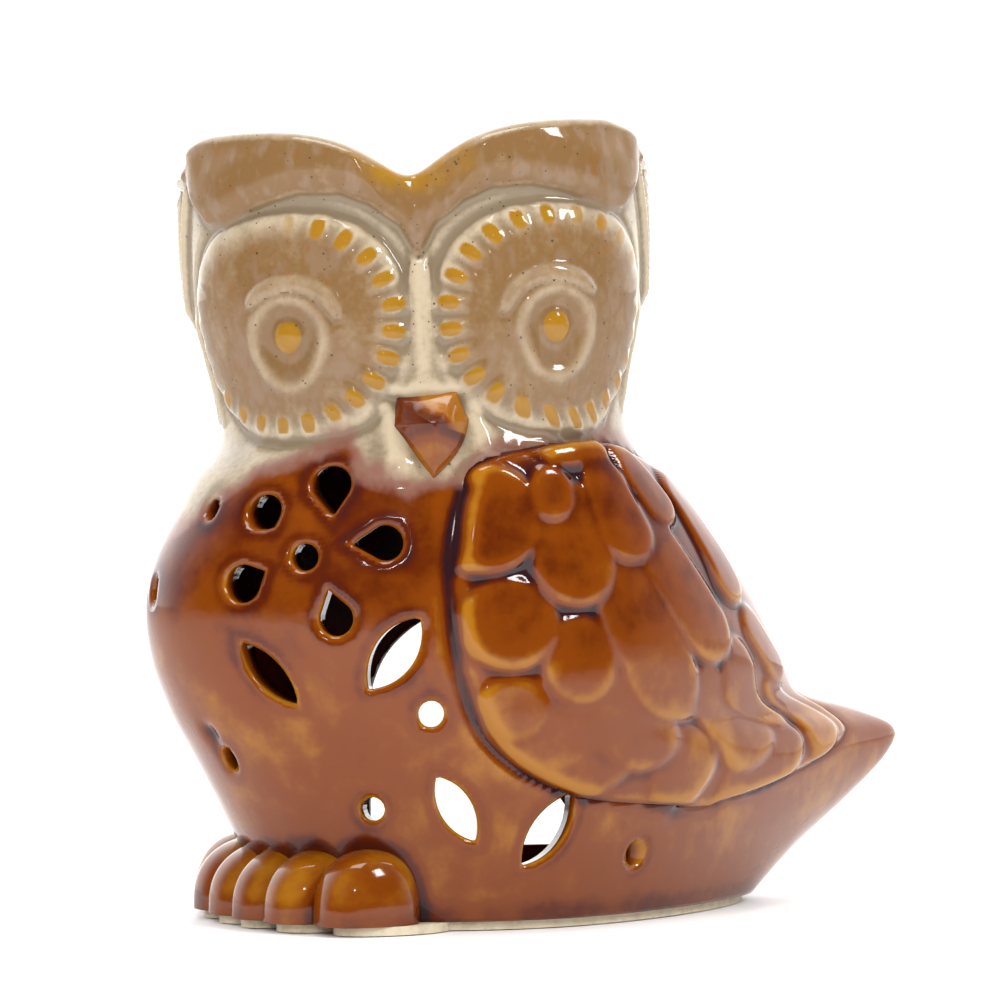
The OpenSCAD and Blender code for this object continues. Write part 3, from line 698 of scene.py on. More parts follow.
# The arch: its middle, half width, sill height, where its curve springs and how far it rises
MOUTH_X, MOUTH_HALF = BODY_AT[0] + 7, 29.0
MOUTH_LOW, MOUTH_SPRING, MOUTH_RISE = 9.5, 38.0, 21.0
MOUTH_FROM_Y = 9.0
SILL_R = 4.0
print(len(HOLES), "pierced holes, and an arch", 2 * MOUTH_HALF, "mm wide")

# %% Distance from the nearest hole
def local(points, a, z, spin):
    """Coordinates on the plane that touches the skin at (a, z), turned by spin."""
    n = normal_of(skin, a, z, 2.0)
    side = unit(np.cross([0, 0, 1.0], n))
    up = np.cross(n, side)
    d = points - skin(a, z)
    u, v = d @ side, d @ up
    c, s = np.cos(np.radians(spin)), np.sin(np.radians(spin))
    return u * c + v * s, v * c - u * s, d @ n


def outline_distance(kind, w, l, u, v):
    """Distance outside a petal (a circle drawn to a point), a leaf (two arcs) or a dot."""
    if kind == 2:
        return (np.hypot(u / w * 2, v / l * 2) - 1) * min(w, l) / 2
    if kind == 1:
        r = (l * l + w * w) / (4 * w)
        return np.hypot(np.abs(u) + r - w / 2, v) - r
    r, d = w / 2, l - w / 2
    s = r / d
    c = np.sqrt(1 - s * s)
    u, v = np.abs(u), v + l / 2
    straight = u * s + v * c < np.sqrt(d * d - r * r)
    return np.where(straight, u * c - v * s, np.hypot(u, v - d) - r)


def hole_distance(a, z):
    """Distance from the nearest pierced hole or from the arch, negative inside."""
    points = skin(a, z)
    best = np.full(np.shape(a), 30.0)
    for ha, hz, w, l, spin, kind in HOLES:
        u, v, depth = local(points, ha, hz, spin)
        near = (np.abs(depth) < HOLE_DEPTH) & (np.hypot(u, v) < HOLE_REACH)
        best = np.where(near, np.minimum(best, outline_distance(kind, w, l, u, v)), best)
    x, h = np.abs(points[..., 0] - MOUTH_X), points[..., 2]
    arch = (np.hypot(x / MOUTH_HALF, (h - MOUTH_SPRING) / MOUTH_RISE) - 1) * MOUTH_RISE
    cx, cz = x - (MOUTH_HALF - SILL_R), MOUTH_LOW + SILL_R - h
    inside = np.minimum(np.maximum(cx, cz), 0)
    corner = np.hypot(np.maximum(cx, 0), np.maximum(cz, 0)) + inside - SILL_R
    mouth = np.where(h > MOUTH_SPRING, arch, corner)
    return np.where(points[..., 1] > MOUTH_FROM_Y, np.minimum(best, mouth), best)

# %% Toes as a formula, so that the glaze can pool behind them
# Along, across and half length of each toe
TOE_SPREAD = np.array([[-35.5, 24.5, 9.8], [-38, 14.5, 12.6], [-39, 4.8, 13.2]])
TOE_HALF_WIDTH, TOE_HALF_HEIGHT = 7.4, 12.4
TOE_MIDDLE = FOOT_H + 1.2
TOE_POWER = 2.5
print("toes", 2 * TOE_SPREAD[:, 2], "mm long and", 2 * TOE_HALF_WIDTH, "mm wide")


def toe_places(side):
    """Along, across and half length of a foot's three toes. side is 1 for the left foot."""
    return TOE_SPREAD * np.array([1, -side, 1])


def toe_gap(points):
    """Superellipsoid rule of the nearest toe: 1 on the toe, more away from it."""
    c, s = np.cos(np.radians(TAIL)), np.sin(np.radians(TAIL))
    dx, dy = points[..., 0] - BODY_AT[0], points[..., 1] - BODY_AT[1]
    u, v = dx * c + dy * s, dy * c - dx * s
    best = np.full(u.shape, 9.0)
    for side in (1, -1):
        for place in toe_places(side):
            q = [np.abs(u - place[0]), np.abs(v - place[1]), np.abs(points[..., 2] - TOE_MIDDLE)]
            radii = (place[2], TOE_HALF_WIDTH, TOE_HALF_HEIGHT)
            total = sum((d / r) ** TOE_POWER for d, r in zip(q, radii))
            best = np.minimum(best, total ** (1 / TOE_POWER))
    return best

# %% Body shell
BODY_ROWS = 112
BEVEL, BEVEL_DEPTH = 1.0, 0.5
UNDER_WING = -0.9
EDGE_BAND = 0.3


def body_spacing(a):
    """Fine where the breast is pierced, coarser under the wings, the tail and behind."""
    a = around(a)
    return mix(np.where(a > 40, 1.15, 1.5), 0.72, within(a, -183, -179, -44, -38))

# %% The body's grid, with the holes left out
turn = columns(45.0, body_spacing)
level = np.linspace(FOOT_H, NECK_Z, BODY_ROWS)
A, Z = np.meshgrid(turn, level)
A, Z = A.ravel(), Z.ravel()
quads = grid_quads(len(level), len(turn)).reshape(-1, 4)
kept = quads[hole_distance(unwrapped(A[quads]).mean(1), Z[quads].mean(1)) > 0]
rim_corners = np.unique(open_edges(kept))
rim_corners = rim_corners[(Z[rim_corners] > FOOT_H + 0.1) & (Z[rim_corners] < NECK_Z - 0.1)]
slide_to(hole_distance, A, Z, rim_corners)
Z = np.clip(Z, FOOT_H, NECK_Z)
print(len(quads) - len(kept), "faces left out of", len(quads))

# %% The body's skins and the walls between them
# The outer skin is rounded over at each hole, lowered under a wing, and has one small dimple
gap = hole_distance(A, Z)
dip = BEVEL_DEPTH * (1 - dome(1 - np.clip(gap, 0, BEVEL) / BEVEL))
under_wing = smooth(-0.4, 0.8, wing_edge(side_angle(A), Z)) * (wing_share(A, Z) > 0.5)
plain = skin(A, Z)
u, v, _ = local(plain, DIMPLE_A, DIMPLE_Z, 0)
dent = DIMPLE_DEPTH * bell(np.hypot(u, v * 0.8) / DIMPLE_R)
lift = mix(relief(A, Z), UNDER_WING, under_wing) - dip - dent
outer = plain + normal_of(skin, A, Z) * lift[:, None]
inner = skin(A, Z, hollow=True)
# A wall joins outer to inner round every hole, with a line of corners a little inside the edge
n = len(A)
start, end = open_edges(kept).T
walls = [np.stack([end, start, start + n, end + n], -1),
         np.stack([end + n, start + n, start + 2 * n, end + 2 * n], -1)]
middle = mix(outer, inner, EDGE_BAND)
seam = np.zeros((3 * n, 3))
top = Z > NECK_Z - 0.01
seam[:n][top] = normal_of(sculpted, A[top], Z[top])

# %% The body's glaze, and the piece
# Glaze pools beside the toes and in the dimple, and is thin on the very edge of a hole
thick = pooling(A, Z) * (1 - under_wing) + 0.45 * bell((toe_gap(outer) - 1.06) / 0.16)
thick += 0.5 * bell(np.hypot(u, v) / 1.6) - 0.30 * bell(gap / 0.35) + 0.16 * bell((gap - 1.5) / 0.9)
above = glaze_line(A, Z)
marks = {
    "pool": np.concatenate([thick, np.full(n, -0.1), np.full(n, 0.35)]),
    "line": np.concatenate([above, above - 4, np.full(n, -30.0)]),
}
body_shell = make_piece("body_shell_pierced", np.concatenate([outer, middle, inner]),
                        [kept, kept[:, ::-1] + 2 * n] + walls, marks, seam)
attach(body_shell, "root")
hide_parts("body_shell")
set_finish(body_shell, "body_glaze")

# %% [markdown]
# ## The head and the marks on it
# The head is a cup with a rounded lip. The marks on the face are real pieces too, each a thin
# lens of clay: its top is the sculpted surface, its underside dips into the head, and the head's
# own skin steps down beneath it. The grid is shared, so neighbours meet along the same corners
# and no gap or step shows between them. A disc is stepped down again under its eye and rays.

# %% The head's grid
def rim_z(a):
    """Height of the lip: high over the brows, with a notch at the front."""
    f = np.abs(around(a + 90))
    notch = 12.0 * np.exp(-((np.hypot(f, 5) * 0.66 / 11) ** 1.3))
    return 142.8 + 5 * (1 - smooth(56, 80, f)) - notch


def head_spacing(a):
    """Fine on the face and coarse behind."""
    f = np.abs(around(a + 90))
    return mix(0.5, 1.3, smooth(88, 96, f))


OUTER_ROWS, LIP_ROWS, INNER_ROWS = 112, 9, 12
turn = columns(120.0, head_spacing)
share = np.linspace(0, 1, OUTER_ROWS)[:, None]
lip_foot = rim_z(turn) - WALL / 2
HA = np.broadcast_to(turn, (OUTER_ROWS, len(turn))).copy()
HZ = mix(NECK_Z, lip_foot[None, :], share)
head_quads = grid_quads(OUTER_ROWS, len(turn))
middle_a = unwrapped(HA.ravel()[head_quads]).mean(-1)
# The middle of each face of the grid, and whether it is on the front half
QX, QZ = face_x(middle_a), HZ.ravel()[head_quads].mean(-1)
FRONT = np.abs(around(middle_a + 90)) < 92

# %% Footprints of the marks
# Each one is a distance that is negative inside the mark
MARK_RULES = {
    "ear": lambda x, z: -ear_d(x, z),
    "face_disc": lambda x, z: (disc_r(x, z) - 1) * DISC_HALF,
    "nose_bridge": lambda x, z: np.maximum((np.abs(x) / nose_half(z) - 1) * 4,
                                           np.maximum(98.5 - z, z - 122)),
    "brow": lambda x, z: np.maximum(-brow_v(x, z), np.abs(x) - 54),
    "brow_peak": lambda x, z: -peak_v(x, z),
    "face_rays": lambda x, z: np.maximum(0.42 - ray_marks(x, z), disc_r(x, z) - 1.0) * 2.5,
    "eyelid": lambda x, z: (lid_r(x, z) - 0.98) * 1.4,
    "eye_ring": lambda x, z: (np.abs(eye_r(x, z) - 1.02) - 0.27) * RING_X,
    "pupil": lambda x, z: pupil_d(x, z) - PUPIL_R,
}
ON_HEAD = ("ear", "face_disc", "nose_bridge", "brow", "brow_peak")
ON_DISC = ("face_rays", "eyelid", "eye_ring", "pupil")
CENTRAL = ("nose_bridge", "brow_peak")


def inside_corners(cover):
    """Corners whose four faces are all covered. cover holds one value for each face."""
    left = np.roll(cover, 1, axis=1)
    both = cover & left
    inner_rows = both[1:] & both[:-1]
    edge = np.zeros((1, cover.shape[1]), bool)
    return np.concatenate([edge, inner_rows, edge]).ravel()


def touched_corners(cover):
    """Corners with at least one covered face."""
    some = cover | np.roll(cover, 1, axis=1)
    blank = np.zeros((1, cover.shape[1]), bool)
    return (np.concatenate([some, blank]) | np.concatenate([blank, some])).ravel()

# %% Which mark covers each face of the grid
# The carrier is what lies on the head there, and the label is what lies on top of that
label = np.full(QX.shape, "", dtype="U12")
carrier = np.full(QX.shape, "", dtype="U12")
for mark in ON_HEAD:
    hit = FRONT & (MARK_RULES[mark](QX, QZ) < 0)
    label[hit] = mark
carrier[:] = label
for mark in ON_DISC:
    hit = (carrier == "face_disc") & (MARK_RULES[mark](QX, QZ) < 0)
    label[hit] = mark

# %% Corners slide on to the borders of the marks
HA, HZ = HA.ravel(), HZ.ravel()
locked = np.zeros(HA.size, bool)
moved = np.zeros(HA.size, bool)
locked[:len(turn)] = True
locked[-len(turn):] = True
for mark in ON_HEAD + ON_DISC:
    cover = (label == mark) if mark in ON_DISC else (carrier == mark)
    border = touched_corners(cover) & ~inside_corners(cover) & ~locked

    def rule(a, z, mark=mark):
        return MARK_RULES[mark](face_x(a), z)

    border &= (np.abs(rule(HA, HZ)) < 0.7) & ~moved
    moved |= border
    slide_to(rule, HA, HZ, np.flatnonzero(border), passes=3)

print({mark: int((label == mark).sum()) for mark in MARK_RULES})

# %% The sculpted head and its glaze
head_top = sculpted(HA, HZ)
head_normal = normal_of(skin, HA, HZ)
head_true_normal = normal_of(sculpted, HA, HZ, 0.5)
hx = face_x(HA)
facing = np.abs(around(HA + 90)) < 92
disc_tan = 0.85 * (1 - smooth(0.68, 0.97, disc_r(hx, HZ)))
ring_pale = bell((eye_r(hx, HZ) - 1.03) / 0.17)
brow_tan = smooth(-0.6, 1.4, brow_v(hx, HZ)) * (1 - smooth(50, 56, np.abs(hx)))
tan = disc_tan * (1 - 0.45 * ring_pale) * (1 - 0.3 * (lid_r(hx, HZ) < 1))
tan = np.where(facing, np.maximum(tan, brow_tan), 0.1)
ray_glow = 1.15 - outer_share(hx, HZ) * np.where(hx < 0, 0.95, 0.45)
ray_nub = smooth(0.25, 0.9, ray_marks(hx, HZ)) * (disc_r(hx, HZ) < 1.05) * ray_glow
pupil_nub = 1 - smooth(0.8, 1.05, pupil_d(hx, HZ) / 2.7)
nub = np.where(facing, np.maximum(ray_nub, pupil_nub), 0)
notch = bell(hx / 15) * smooth(128, 140, HZ) * facing
head_marks = {
    "pool": pooling(HA, HZ),
    "line": glaze_line(HA, HZ),
    "tan": tan,
    "nub": np.maximum(nub, 0.75 * notch),
}
print("tan glaze on", int((tan > 0.5).sum()), "corners")

# %% One mark as a lens
# How far the head steps down under its marks, and a disc under the marks on it
SUNK_HEAD, SUNK_DISC = 1.4, 0.9


def lens(name, cover, nested, depth, slot_name, nodes):
    """A mark as a closed lens: the sculpted top, and an underside that shares the top's border."""
    covered = inside_corners(cover)
    under = inside_corners(nested) if nested is not None else np.zeros(HA.size, bool)
    top_points = head_top - head_normal * (SUNK_DISC * under)[:, None]
    quads = head_quads[cover]
    carrying = None if nested is None else nested[cover] & (under[quads].sum(axis=1) < 2)
    bottom_points = head_top - head_normal * depth
    points, faces, source = closed_lens(top_points, bottom_points, quads, covered, carrying)
    normals = np.zeros_like(points)
    border = touched_corners(cover) & ~covered
    if nested is not None:
        border |= touched_corners(nested) & ~under
    normals[:len(HA)][border] = head_true_normal[border]
    marks = {k: v[source] for k, v in head_marks.items()}
    piece = make_piece(name, points, faces, marks, normals)
    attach(piece, "root")
    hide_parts(*nodes)
    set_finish(piece, slot_name)

# %% Lip, lining and the cup itself
under_marks = inside_corners(carrier != "")
shell_top = head_top - head_normal * (SUNK_HEAD * under_marks)[:, None]
lip_share = np.linspace(0, np.pi, LIP_ROWS)[1:, None]
lip_inset = WALL / 2 * (1 - np.cos(lip_share))
lip_z = rim_z(turn)[None] - WALL / 2 * (1 - np.sin(lip_share))
lip_lift = relief(turn, lip_foot)[None] * (1 + np.cos(lip_share)) / 2


def cup_wall(a, z, inset):
    """The plain head, moved inwards by inset."""
    x, y = head_xy(a, z, inset)
    return leaned(x, y, z, smooth(NECK_FROM, NECK_TO, z))


lip_a = np.broadcast_to(turn, lip_z.shape)
lip = cup_wall(lip_a, lip_z, lip_inset) + normal_of(skin, lip_a, lip_z) * lip_lift[..., None]
inner_z = mix(lip_foot[None], NECK_Z, np.linspace(0, 1, INNER_ROWS)[1:, None])
inner_a = np.broadcast_to(turn, inner_z.shape)
lining = cup_wall(inner_a, inner_z, WALL)
points = np.concatenate([shell_top, lip.reshape(-1, 3), lining.reshape(-1, 3)])
rows = OUTER_ROWS + LIP_ROWS - 1 + INNER_ROWS - 1
ring = np.arange(len(turn))
last = (rows - 1) * len(turn)
joint = np.stack([last + ring, last + np.roll(ring, -1), np.roll(ring, -1), ring], -1)
extra = len(points) - len(HA)
lip_notch = np.tile(bell(face_x(turn) / 17) * (np.abs(around(turn + 90)) < 92), rows - OUTER_ROWS)
marks = {
    "pool": np.concatenate([head_marks["pool"], np.full(extra, -0.05)]),
    "line": np.concatenate([head_marks["line"], np.full(extra, 40.0)]),
    "tan": np.concatenate([head_marks["tan"], np.full(extra, 0.5)]),
    "nub": np.concatenate([head_marks["nub"], 0.7 * lip_notch]),
}
normals = np.zeros_like(points)
border = np.zeros(len(HA), bool)
border[:len(turn)] = True
border |= touched_corners(carrier != "") & ~under_marks
normals[:len(HA)][border] = head_true_normal[border]
cup_faces = [grid_quads(rows, len(turn)).reshape(-1, 4), joint]
head_shell = make_piece("head_cup", points, cup_faces, marks, normals)
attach(head_shell, "root")
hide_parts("head_shell")
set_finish(head_shell, "head_glaze")

# %% Marks of the face, one piece for each CAD part
SLOTS = {
    "brow": "brow_glaze", "brow_peak": "brow_glaze",
    "face_rays": "amber_glaze", "pupil": "amber_glaze",
}
DEPTH_ON_HEAD, DEPTH_ON_DISC = 1.3, 0.8
on_disc = np.isin(label, ON_DISC)
for mark in ON_HEAD + ON_DISC:
    cover = (label == mark) if mark in ON_DISC else (carrier == mark)
    nested = on_disc if mark == "face_disc" else None
    depth = DEPTH_ON_DISC if mark in ON_DISC else DEPTH_ON_HEAD
    slot_name = SLOTS.get(mark, "head_glaze")
    if mark in CENTRAL:
        lens(mark + "_relief", cover, nested, depth, slot_name, [mark])
        continue
    for side, sign in (("left", 1), ("right", -1)):
        half = cover & (QX * sign > 0)
        lens(f"{side}_{mark}_relief", half, nested, depth, slot_name, [f"{side}_{mark}"])

# %% [markdown]
# ## The beak
# The beak is a small faceted pyramid. Its outline has five corners, and straight lines run from
# every point of that outline to one blunt peak, which gives the flat facets for free. A ring of
# points sinks below the skin to close it.

# %% Beak
BEAK_CORNERS = np.array([[6.2, 98.6], [-5.2, 97.6], [-6.8, 92.0], [-0.4, 82.6], [6.8, 93.0]])
BEAK_PEAK = np.array([-0.6, 90.0])
BEAK_OUT, BEAK_BLUNT, BEAK_STEP, BEAK_ROOT = 6.4, 0.10, 0.6, 1.5
BEAK_SIDES, BEAK_RINGS = 110, 20


def face_angle(x):
    """Angle of a place x millimetres along the surface from the middle of the face."""
    return -90 + 57.3 * (x + FACE_X) / (36 + 0.08 * np.abs(x + FACE_X))


legs = np.roll(BEAK_CORNERS, -1, axis=0) - BEAK_CORNERS
run = np.concatenate([[0], np.cumsum(np.hypot(*legs.T))])
where = np.arange(BEAK_SIDES) / BEAK_SIDES * run[-1]
closed = np.concatenate([BEAK_CORNERS, BEAK_CORNERS[:1]])
outline = np.stack([np.interp(where, run, values) for values in closed.T], -1)
rho = np.linspace(0, 1, BEAK_RINGS)[1:, None, None]
spot = BEAK_PEAK + (outline - BEAK_PEAK) * rho
height = BEAK_OUT * (1 - np.sqrt(rho[..., 0] ** 2 + BEAK_BLUNT**2) + BEAK_BLUNT / 2)
height = height * np.ones(len(outline)) + BEAK_STEP * smooth(1.0, 0.9, rho[..., 0])
beak_a, beak_z = face_angle(spot[..., 0]), spot[..., 1]

# %% Facets from the outline to the peak
def off_skin(a, z, height):
    """Points at a height above the plain skin, along its normal."""
    return skin(a, z) + normal_of(skin, a, z, 2.0) * np.asarray(height)[..., None]


rings = off_skin(beak_a, beak_z, height)
deep = off_skin(beak_a[-1], beak_z[-1], np.full(BEAK_SIDES, -BEAK_ROOT))
pa, pz = face_angle(BEAK_PEAK[0]), BEAK_PEAK[1]
peak_point = off_skin(pa, pz, BEAK_OUT * (1 - BEAK_BLUNT / 2) + BEAK_STEP)
base_point = off_skin(pa, pz, -BEAK_ROOT)
points = np.concatenate([rings.reshape(-1, 3), deep, peak_point[None], base_point[None]])
m = len(outline)
quads = grid_quads(len(rho) + 1, m).reshape(-1, 4)[:, ::-1]
k = np.arange(m)
tip = np.stack([np.full(m, len(points) - 2), np.roll(k, -1), k], -1)[:, ::-1]
root = len(rho) * m + k
base = np.stack([np.full(m, len(points) - 1), root, np.roll(root, -1)], -1)[:, ::-1]
facet = spot[..., 0] - BEAK_PEAK[0] + 0.5 * (spot[..., 1] - BEAK_PEAK[1])
amber_facet = smooth(1.0, 4.5, facet) * smooth(0.15, 0.5, rho[..., 0]) * (spot[..., 1] > 90)
front_tip = smooth(90, 86.5, spot[..., 1])
amber = np.maximum(amber_facet, 0.8 * front_tip).ravel()
marks = {
    "pool": np.concatenate([(0.14 - 0.55 * amber).ravel(), np.full(m + 2, 0.1)]),
    "line": np.full(len(points), -30.0),
    "nub": np.concatenate([amber * 0.5, np.zeros(m + 2)]),
}
beak = make_piece("beak_pyramid", points, [quads, tip, base], marks)
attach(beak, "root")
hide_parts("beak")
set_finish(beak, "beak_glaze")

# %% [markdown]
# ## Wings
# A wing has its own fine grid between its front and rear edges. It is cut into the pad and the
# four groups of feathers in the same way as the face, so each group is a thin closed piece and
# the pad runs on beneath it. The wing's edge dips under the body's skin inside the groove.

# %% Wing grids
WING_ROWS, WING_COLUMNS = 158, 176
WING_OVERLAP = 1.0
EDGE_DIP, PAD_SINK, PAD_DEPTH, FEATHER_DEPTH = 1.3, 0.9, 1.4, 0.8
GROUP_NAMES = ["shoulder", "covert", "flight", "hem"]


def open_quads(rows, columns):
    """Corner numbers of a grid's faces, without closing it into a ring."""
    j, i = np.meshgrid(np.arange(rows - 1), np.arange(columns - 1), indexing="ij")
    k = j * columns + i
    return np.stack([k, k + 1, k + columns + 1, k + columns], -1)


def grow(cover):
    """Corners whose four faces are all covered, on an open grid."""
    padded = np.pad(cover, 1)
    return padded[1:, 1:] & padded[:-1, 1:] & padded[1:, :-1] & padded[:-1, :-1]

# %% One wing
def build_wing(side, low, groups):
    """The pad and the feather groups of one wing, down to the height low."""
    s, t = np.meshgrid(np.linspace(0, 1, WING_COLUMNS), np.linspace(0, 1, WING_ROWS))
    z = mix(low, WING[-1, 0] - 0.3, t)
    front, rear = through(WING, z, 1) - WING_OVERLAP, through(WING, z, 2) + WING_OVERLAP
    a = mix(front, rear, s)
    group = feather_group(a, z)
    group = np.where(wing_edge(a, z) > 0.9, group, 0)
    height = wing_map.at(wing_height, a, z)
    real_a = a if side == "left" else twin(a)
    base, n = skin(real_a, z), normal_of(skin, real_a, z)
    border = np.ones(a.shape, bool)
    border[1:-1, 1:-1] = False
    height = np.where(border, -EDGE_DIP, height)
    top = base + n * height[..., None]
    quads = open_quads(WING_ROWS, WING_COLUMNS)
    if side == "right":
        quads = quads[..., ::-1]
    centre = group[:-1, :-1]
    marks = {"pool": wing_map.at(wing_pool, a, z).ravel(), "line": glaze_line(real_a, z).ravel() - 6}
    count = a.size
    outward = 1 if side == "left" else -1
    true = np.cross(np.gradient(top, axis=1), np.gradient(top, axis=0)) * outward
    true = unit(true).reshape(-1, 3)
    chosen = [g for g in range(1, 5) if GROUP_NAMES[g - 1] in groups]
    raised = np.isin(centre, chosen)
    made = [("pad", np.ones_like(raised), raised, PAD_DEPTH, side + "_wing")]
    for g in chosen:
        part = GROUP_NAMES[g - 1]
        made.append((part, centre == g, None, FEATHER_DEPTH, f"{side}_{part}_feathers"))
    for part, cover, nested, depth, node in made:
        covered = grow(cover).ravel()
        sunk = grow(nested).ravel() if nested is not None else np.zeros(count, bool)
        upper = top.reshape(-1, 3) - n.reshape(-1, 3) * (PAD_SINK * sunk)[:, None]
        under = top.reshape(-1, 3) - n.reshape(-1, 3) * depth
        carrying = None if nested is None else nested[cover] & (sunk[quads[cover]].sum(axis=1) < 2)
        points, faces, source = closed_lens(upper, under, quads[cover], covered, carrying)
        normals = np.zeros_like(points)
        edge = np.zeros(count, bool)
        edge[quads[cover].ravel()] = True
        edge &= ~covered & ~border.ravel()
        if nested is not None:
            edge |= ~sunk & ~border.ravel()
        normals[:count][edge] = true[edge]
        name = f"{side}_wing_pad" if part == "pad" else f"{side}_{part}_feather_relief"
        piece = make_piece(name, points, faces, {k: v[source] for k, v in marks.items()}, normals)
        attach(piece, "root")
        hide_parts(node)
        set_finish(piece, "body_glaze" if part == "pad" else "amber_glaze")


build_wing("left", WING[0, 0] - 1.0, GROUP_NAMES)
build_wing("right", cad_box("right_wing")[0][2], ["shoulder"])

# %% [markdown]
# ## Feet
# Each foot has three plump toes side by side. A toe is a superellipsoid: the absolute values of
# x, y and z over its radii, each to the power 2.5, add up to one. The glaze runs into the valleys
# between the toes and pools dark there.

# %% Toes
TOE_TURNS, TOE_RINGS = 72, 40


def soft_power(x):
    """Sign of x times its size to the power 2 / TOE_POWER."""
    return np.sign(x) * np.abs(x) ** (2 / TOE_POWER)


def build_foot(side, sign):
    """Three closed toes in one mesh. Their soles are flat, on top of the bare foot ring."""
    theta = np.arange(TOE_TURNS) / TOE_TURNS * 2 * np.pi
    phi = np.linspace(-np.pi / 2, np.pi / 2, TOE_RINGS)[1:-1, None]
    points, faces, pools = [], [], []
    for number, place in enumerate(toe_places(sign)):
        u = soft_power(np.cos(phi)) * soft_power(np.cos(theta))
        v = soft_power(np.cos(phi)) * soft_power(np.sin(theta))
        w = soft_power(np.sin(phi)) * np.ones_like(theta)
        w = w * (1 - 0.10 * np.clip(-u, 0, 1))
        x, y = turned(place[0] + place[2] * u, place[1] + TOE_HALF_WIDTH * v)
        z = np.maximum(TOE_MIDDLE + TOE_HALF_HEIGHT * w, FOOT_H)
        px, py = turned(place[0], place[1])
        ends = np.array([[px, py, FOOT_H], [px, py, TOE_MIDDLE + TOE_HALF_HEIGHT]])
        ring = np.stack([x, y, z], -1)
        start = sum(len(p) for p in points)
        count = ring.shape[0] * TOE_TURNS
        points.append(np.concatenate([ring.reshape(-1, 3), ends]))
        k = np.arange(TOE_TURNS)
        bottom = np.stack([np.full(TOE_TURNS, count), np.roll(k, -1), k], -1)
        top_ring = count - TOE_TURNS + k
        top = np.stack([np.full(TOE_TURNS, count + 1), top_ring, np.roll(top_ring, -1)], -1)
        around_toe = grid_quads(ring.shape[0], TOE_TURNS).reshape(-1, 4)
        faces.append((around_toe + start, bottom + start, top + start))
        between_toes = smooth(0.78, 0.98, np.abs(v)) * ((number > 0) | (v * place[1] < 0))
        valley = 0.5 * between_toes + 0.35 * smooth(0.55, 1.0, u) * (w > -0.2)
        crest = -0.12 * bell((np.abs(v) - 0.55) / 0.22) - 0.10 * smooth(0.5, -0.2, w)
        pools.append(np.append((valley + crest).ravel(), [0, 0]))
    quads = np.concatenate([f[0] for f in faces])
    caps = np.concatenate([f[i] for f in faces for i in (1, 2)])
    points = np.concatenate(points)
    marks = {"pool": np.concatenate(pools), "line": np.full(len(points), -40.0)}
    piece = make_piece(side + "_toes", points, [quads, caps], marks)
    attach(piece, "root")
    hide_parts(side + "_foot")
    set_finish(piece, "body_glaze")


build_foot("left", 1)
build_foot("right", -1)

# %% [markdown]
# ## Oil dish
# The top of the head is a shallow dish for water and scented oil, right across the head. It is
# one bowl-shaped slab: rings of the head's own inner outline, shrunk towards the middle, at a
# height that rises as the square of the distance and turns up in a fillet against the wall.

# %% Dish
DISH_RISE, DISH_T, DISH_FILLET = 5.0, 4.0, 2.2
DISH_Z = DISH_UNDER + DISH_T + 0.4
dish_turn = np.arange(0, 360, 2.5)
k = np.concatenate([np.linspace(0, 0.9, 20)[1:], np.linspace(0.92, 1, 8)])[:, None]
dish_x, dish_y = head_xy(dish_turn, 124.0, WALL + 0.02)
fillet = DISH_FILLET * (1 - dome(np.clip((k - 0.92) / 0.08, 0, 1)))
flat_x, flat_y = mix(HEAD_AT[0], dish_x, k), mix(HEAD_AT[1], dish_y, k)
dish_z = DISH_Z + DISH_RISE * k**2 * np.ones_like(flat_x)
bowl = leaned(flat_x, flat_y, dish_z + fillet, 1.0)
floor_side = leaned(flat_x, flat_y, dish_z - DISH_T, 1.0)
m = len(dish_turn)
shell_rings = np.concatenate([floor_side, bowl[::-1]])
centre_z = np.array([DISH_Z - DISH_T, DISH_Z])
centres = leaned(np.full(2, HEAD_AT[0]), np.full(2, HEAD_AT[1]), centre_z, 1.0)
points = np.concatenate([shell_rings.reshape(-1, 3), centres])
rings_count = len(shell_rings)
i = np.arange(m)
low_cap = np.stack([np.full(m, len(points) - 2), np.roll(i, -1), i], -1)
high_ring = (rings_count - 1) * m + i
high_cap = np.stack([np.full(m, len(points) - 1), high_ring, np.roll(high_ring, -1)], -1)
dish_faces = [grid_quads(rings_count, m).reshape(-1, 4), low_cap, high_cap]
marks = {"line": 30.0, "tan": 0.4, "pool": 0.05}
dish = make_piece("oil_dish_bowl", points, dish_faces, marks)
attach(dish, "root")
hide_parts("oil_dish")
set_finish(dish, "head_glaze")
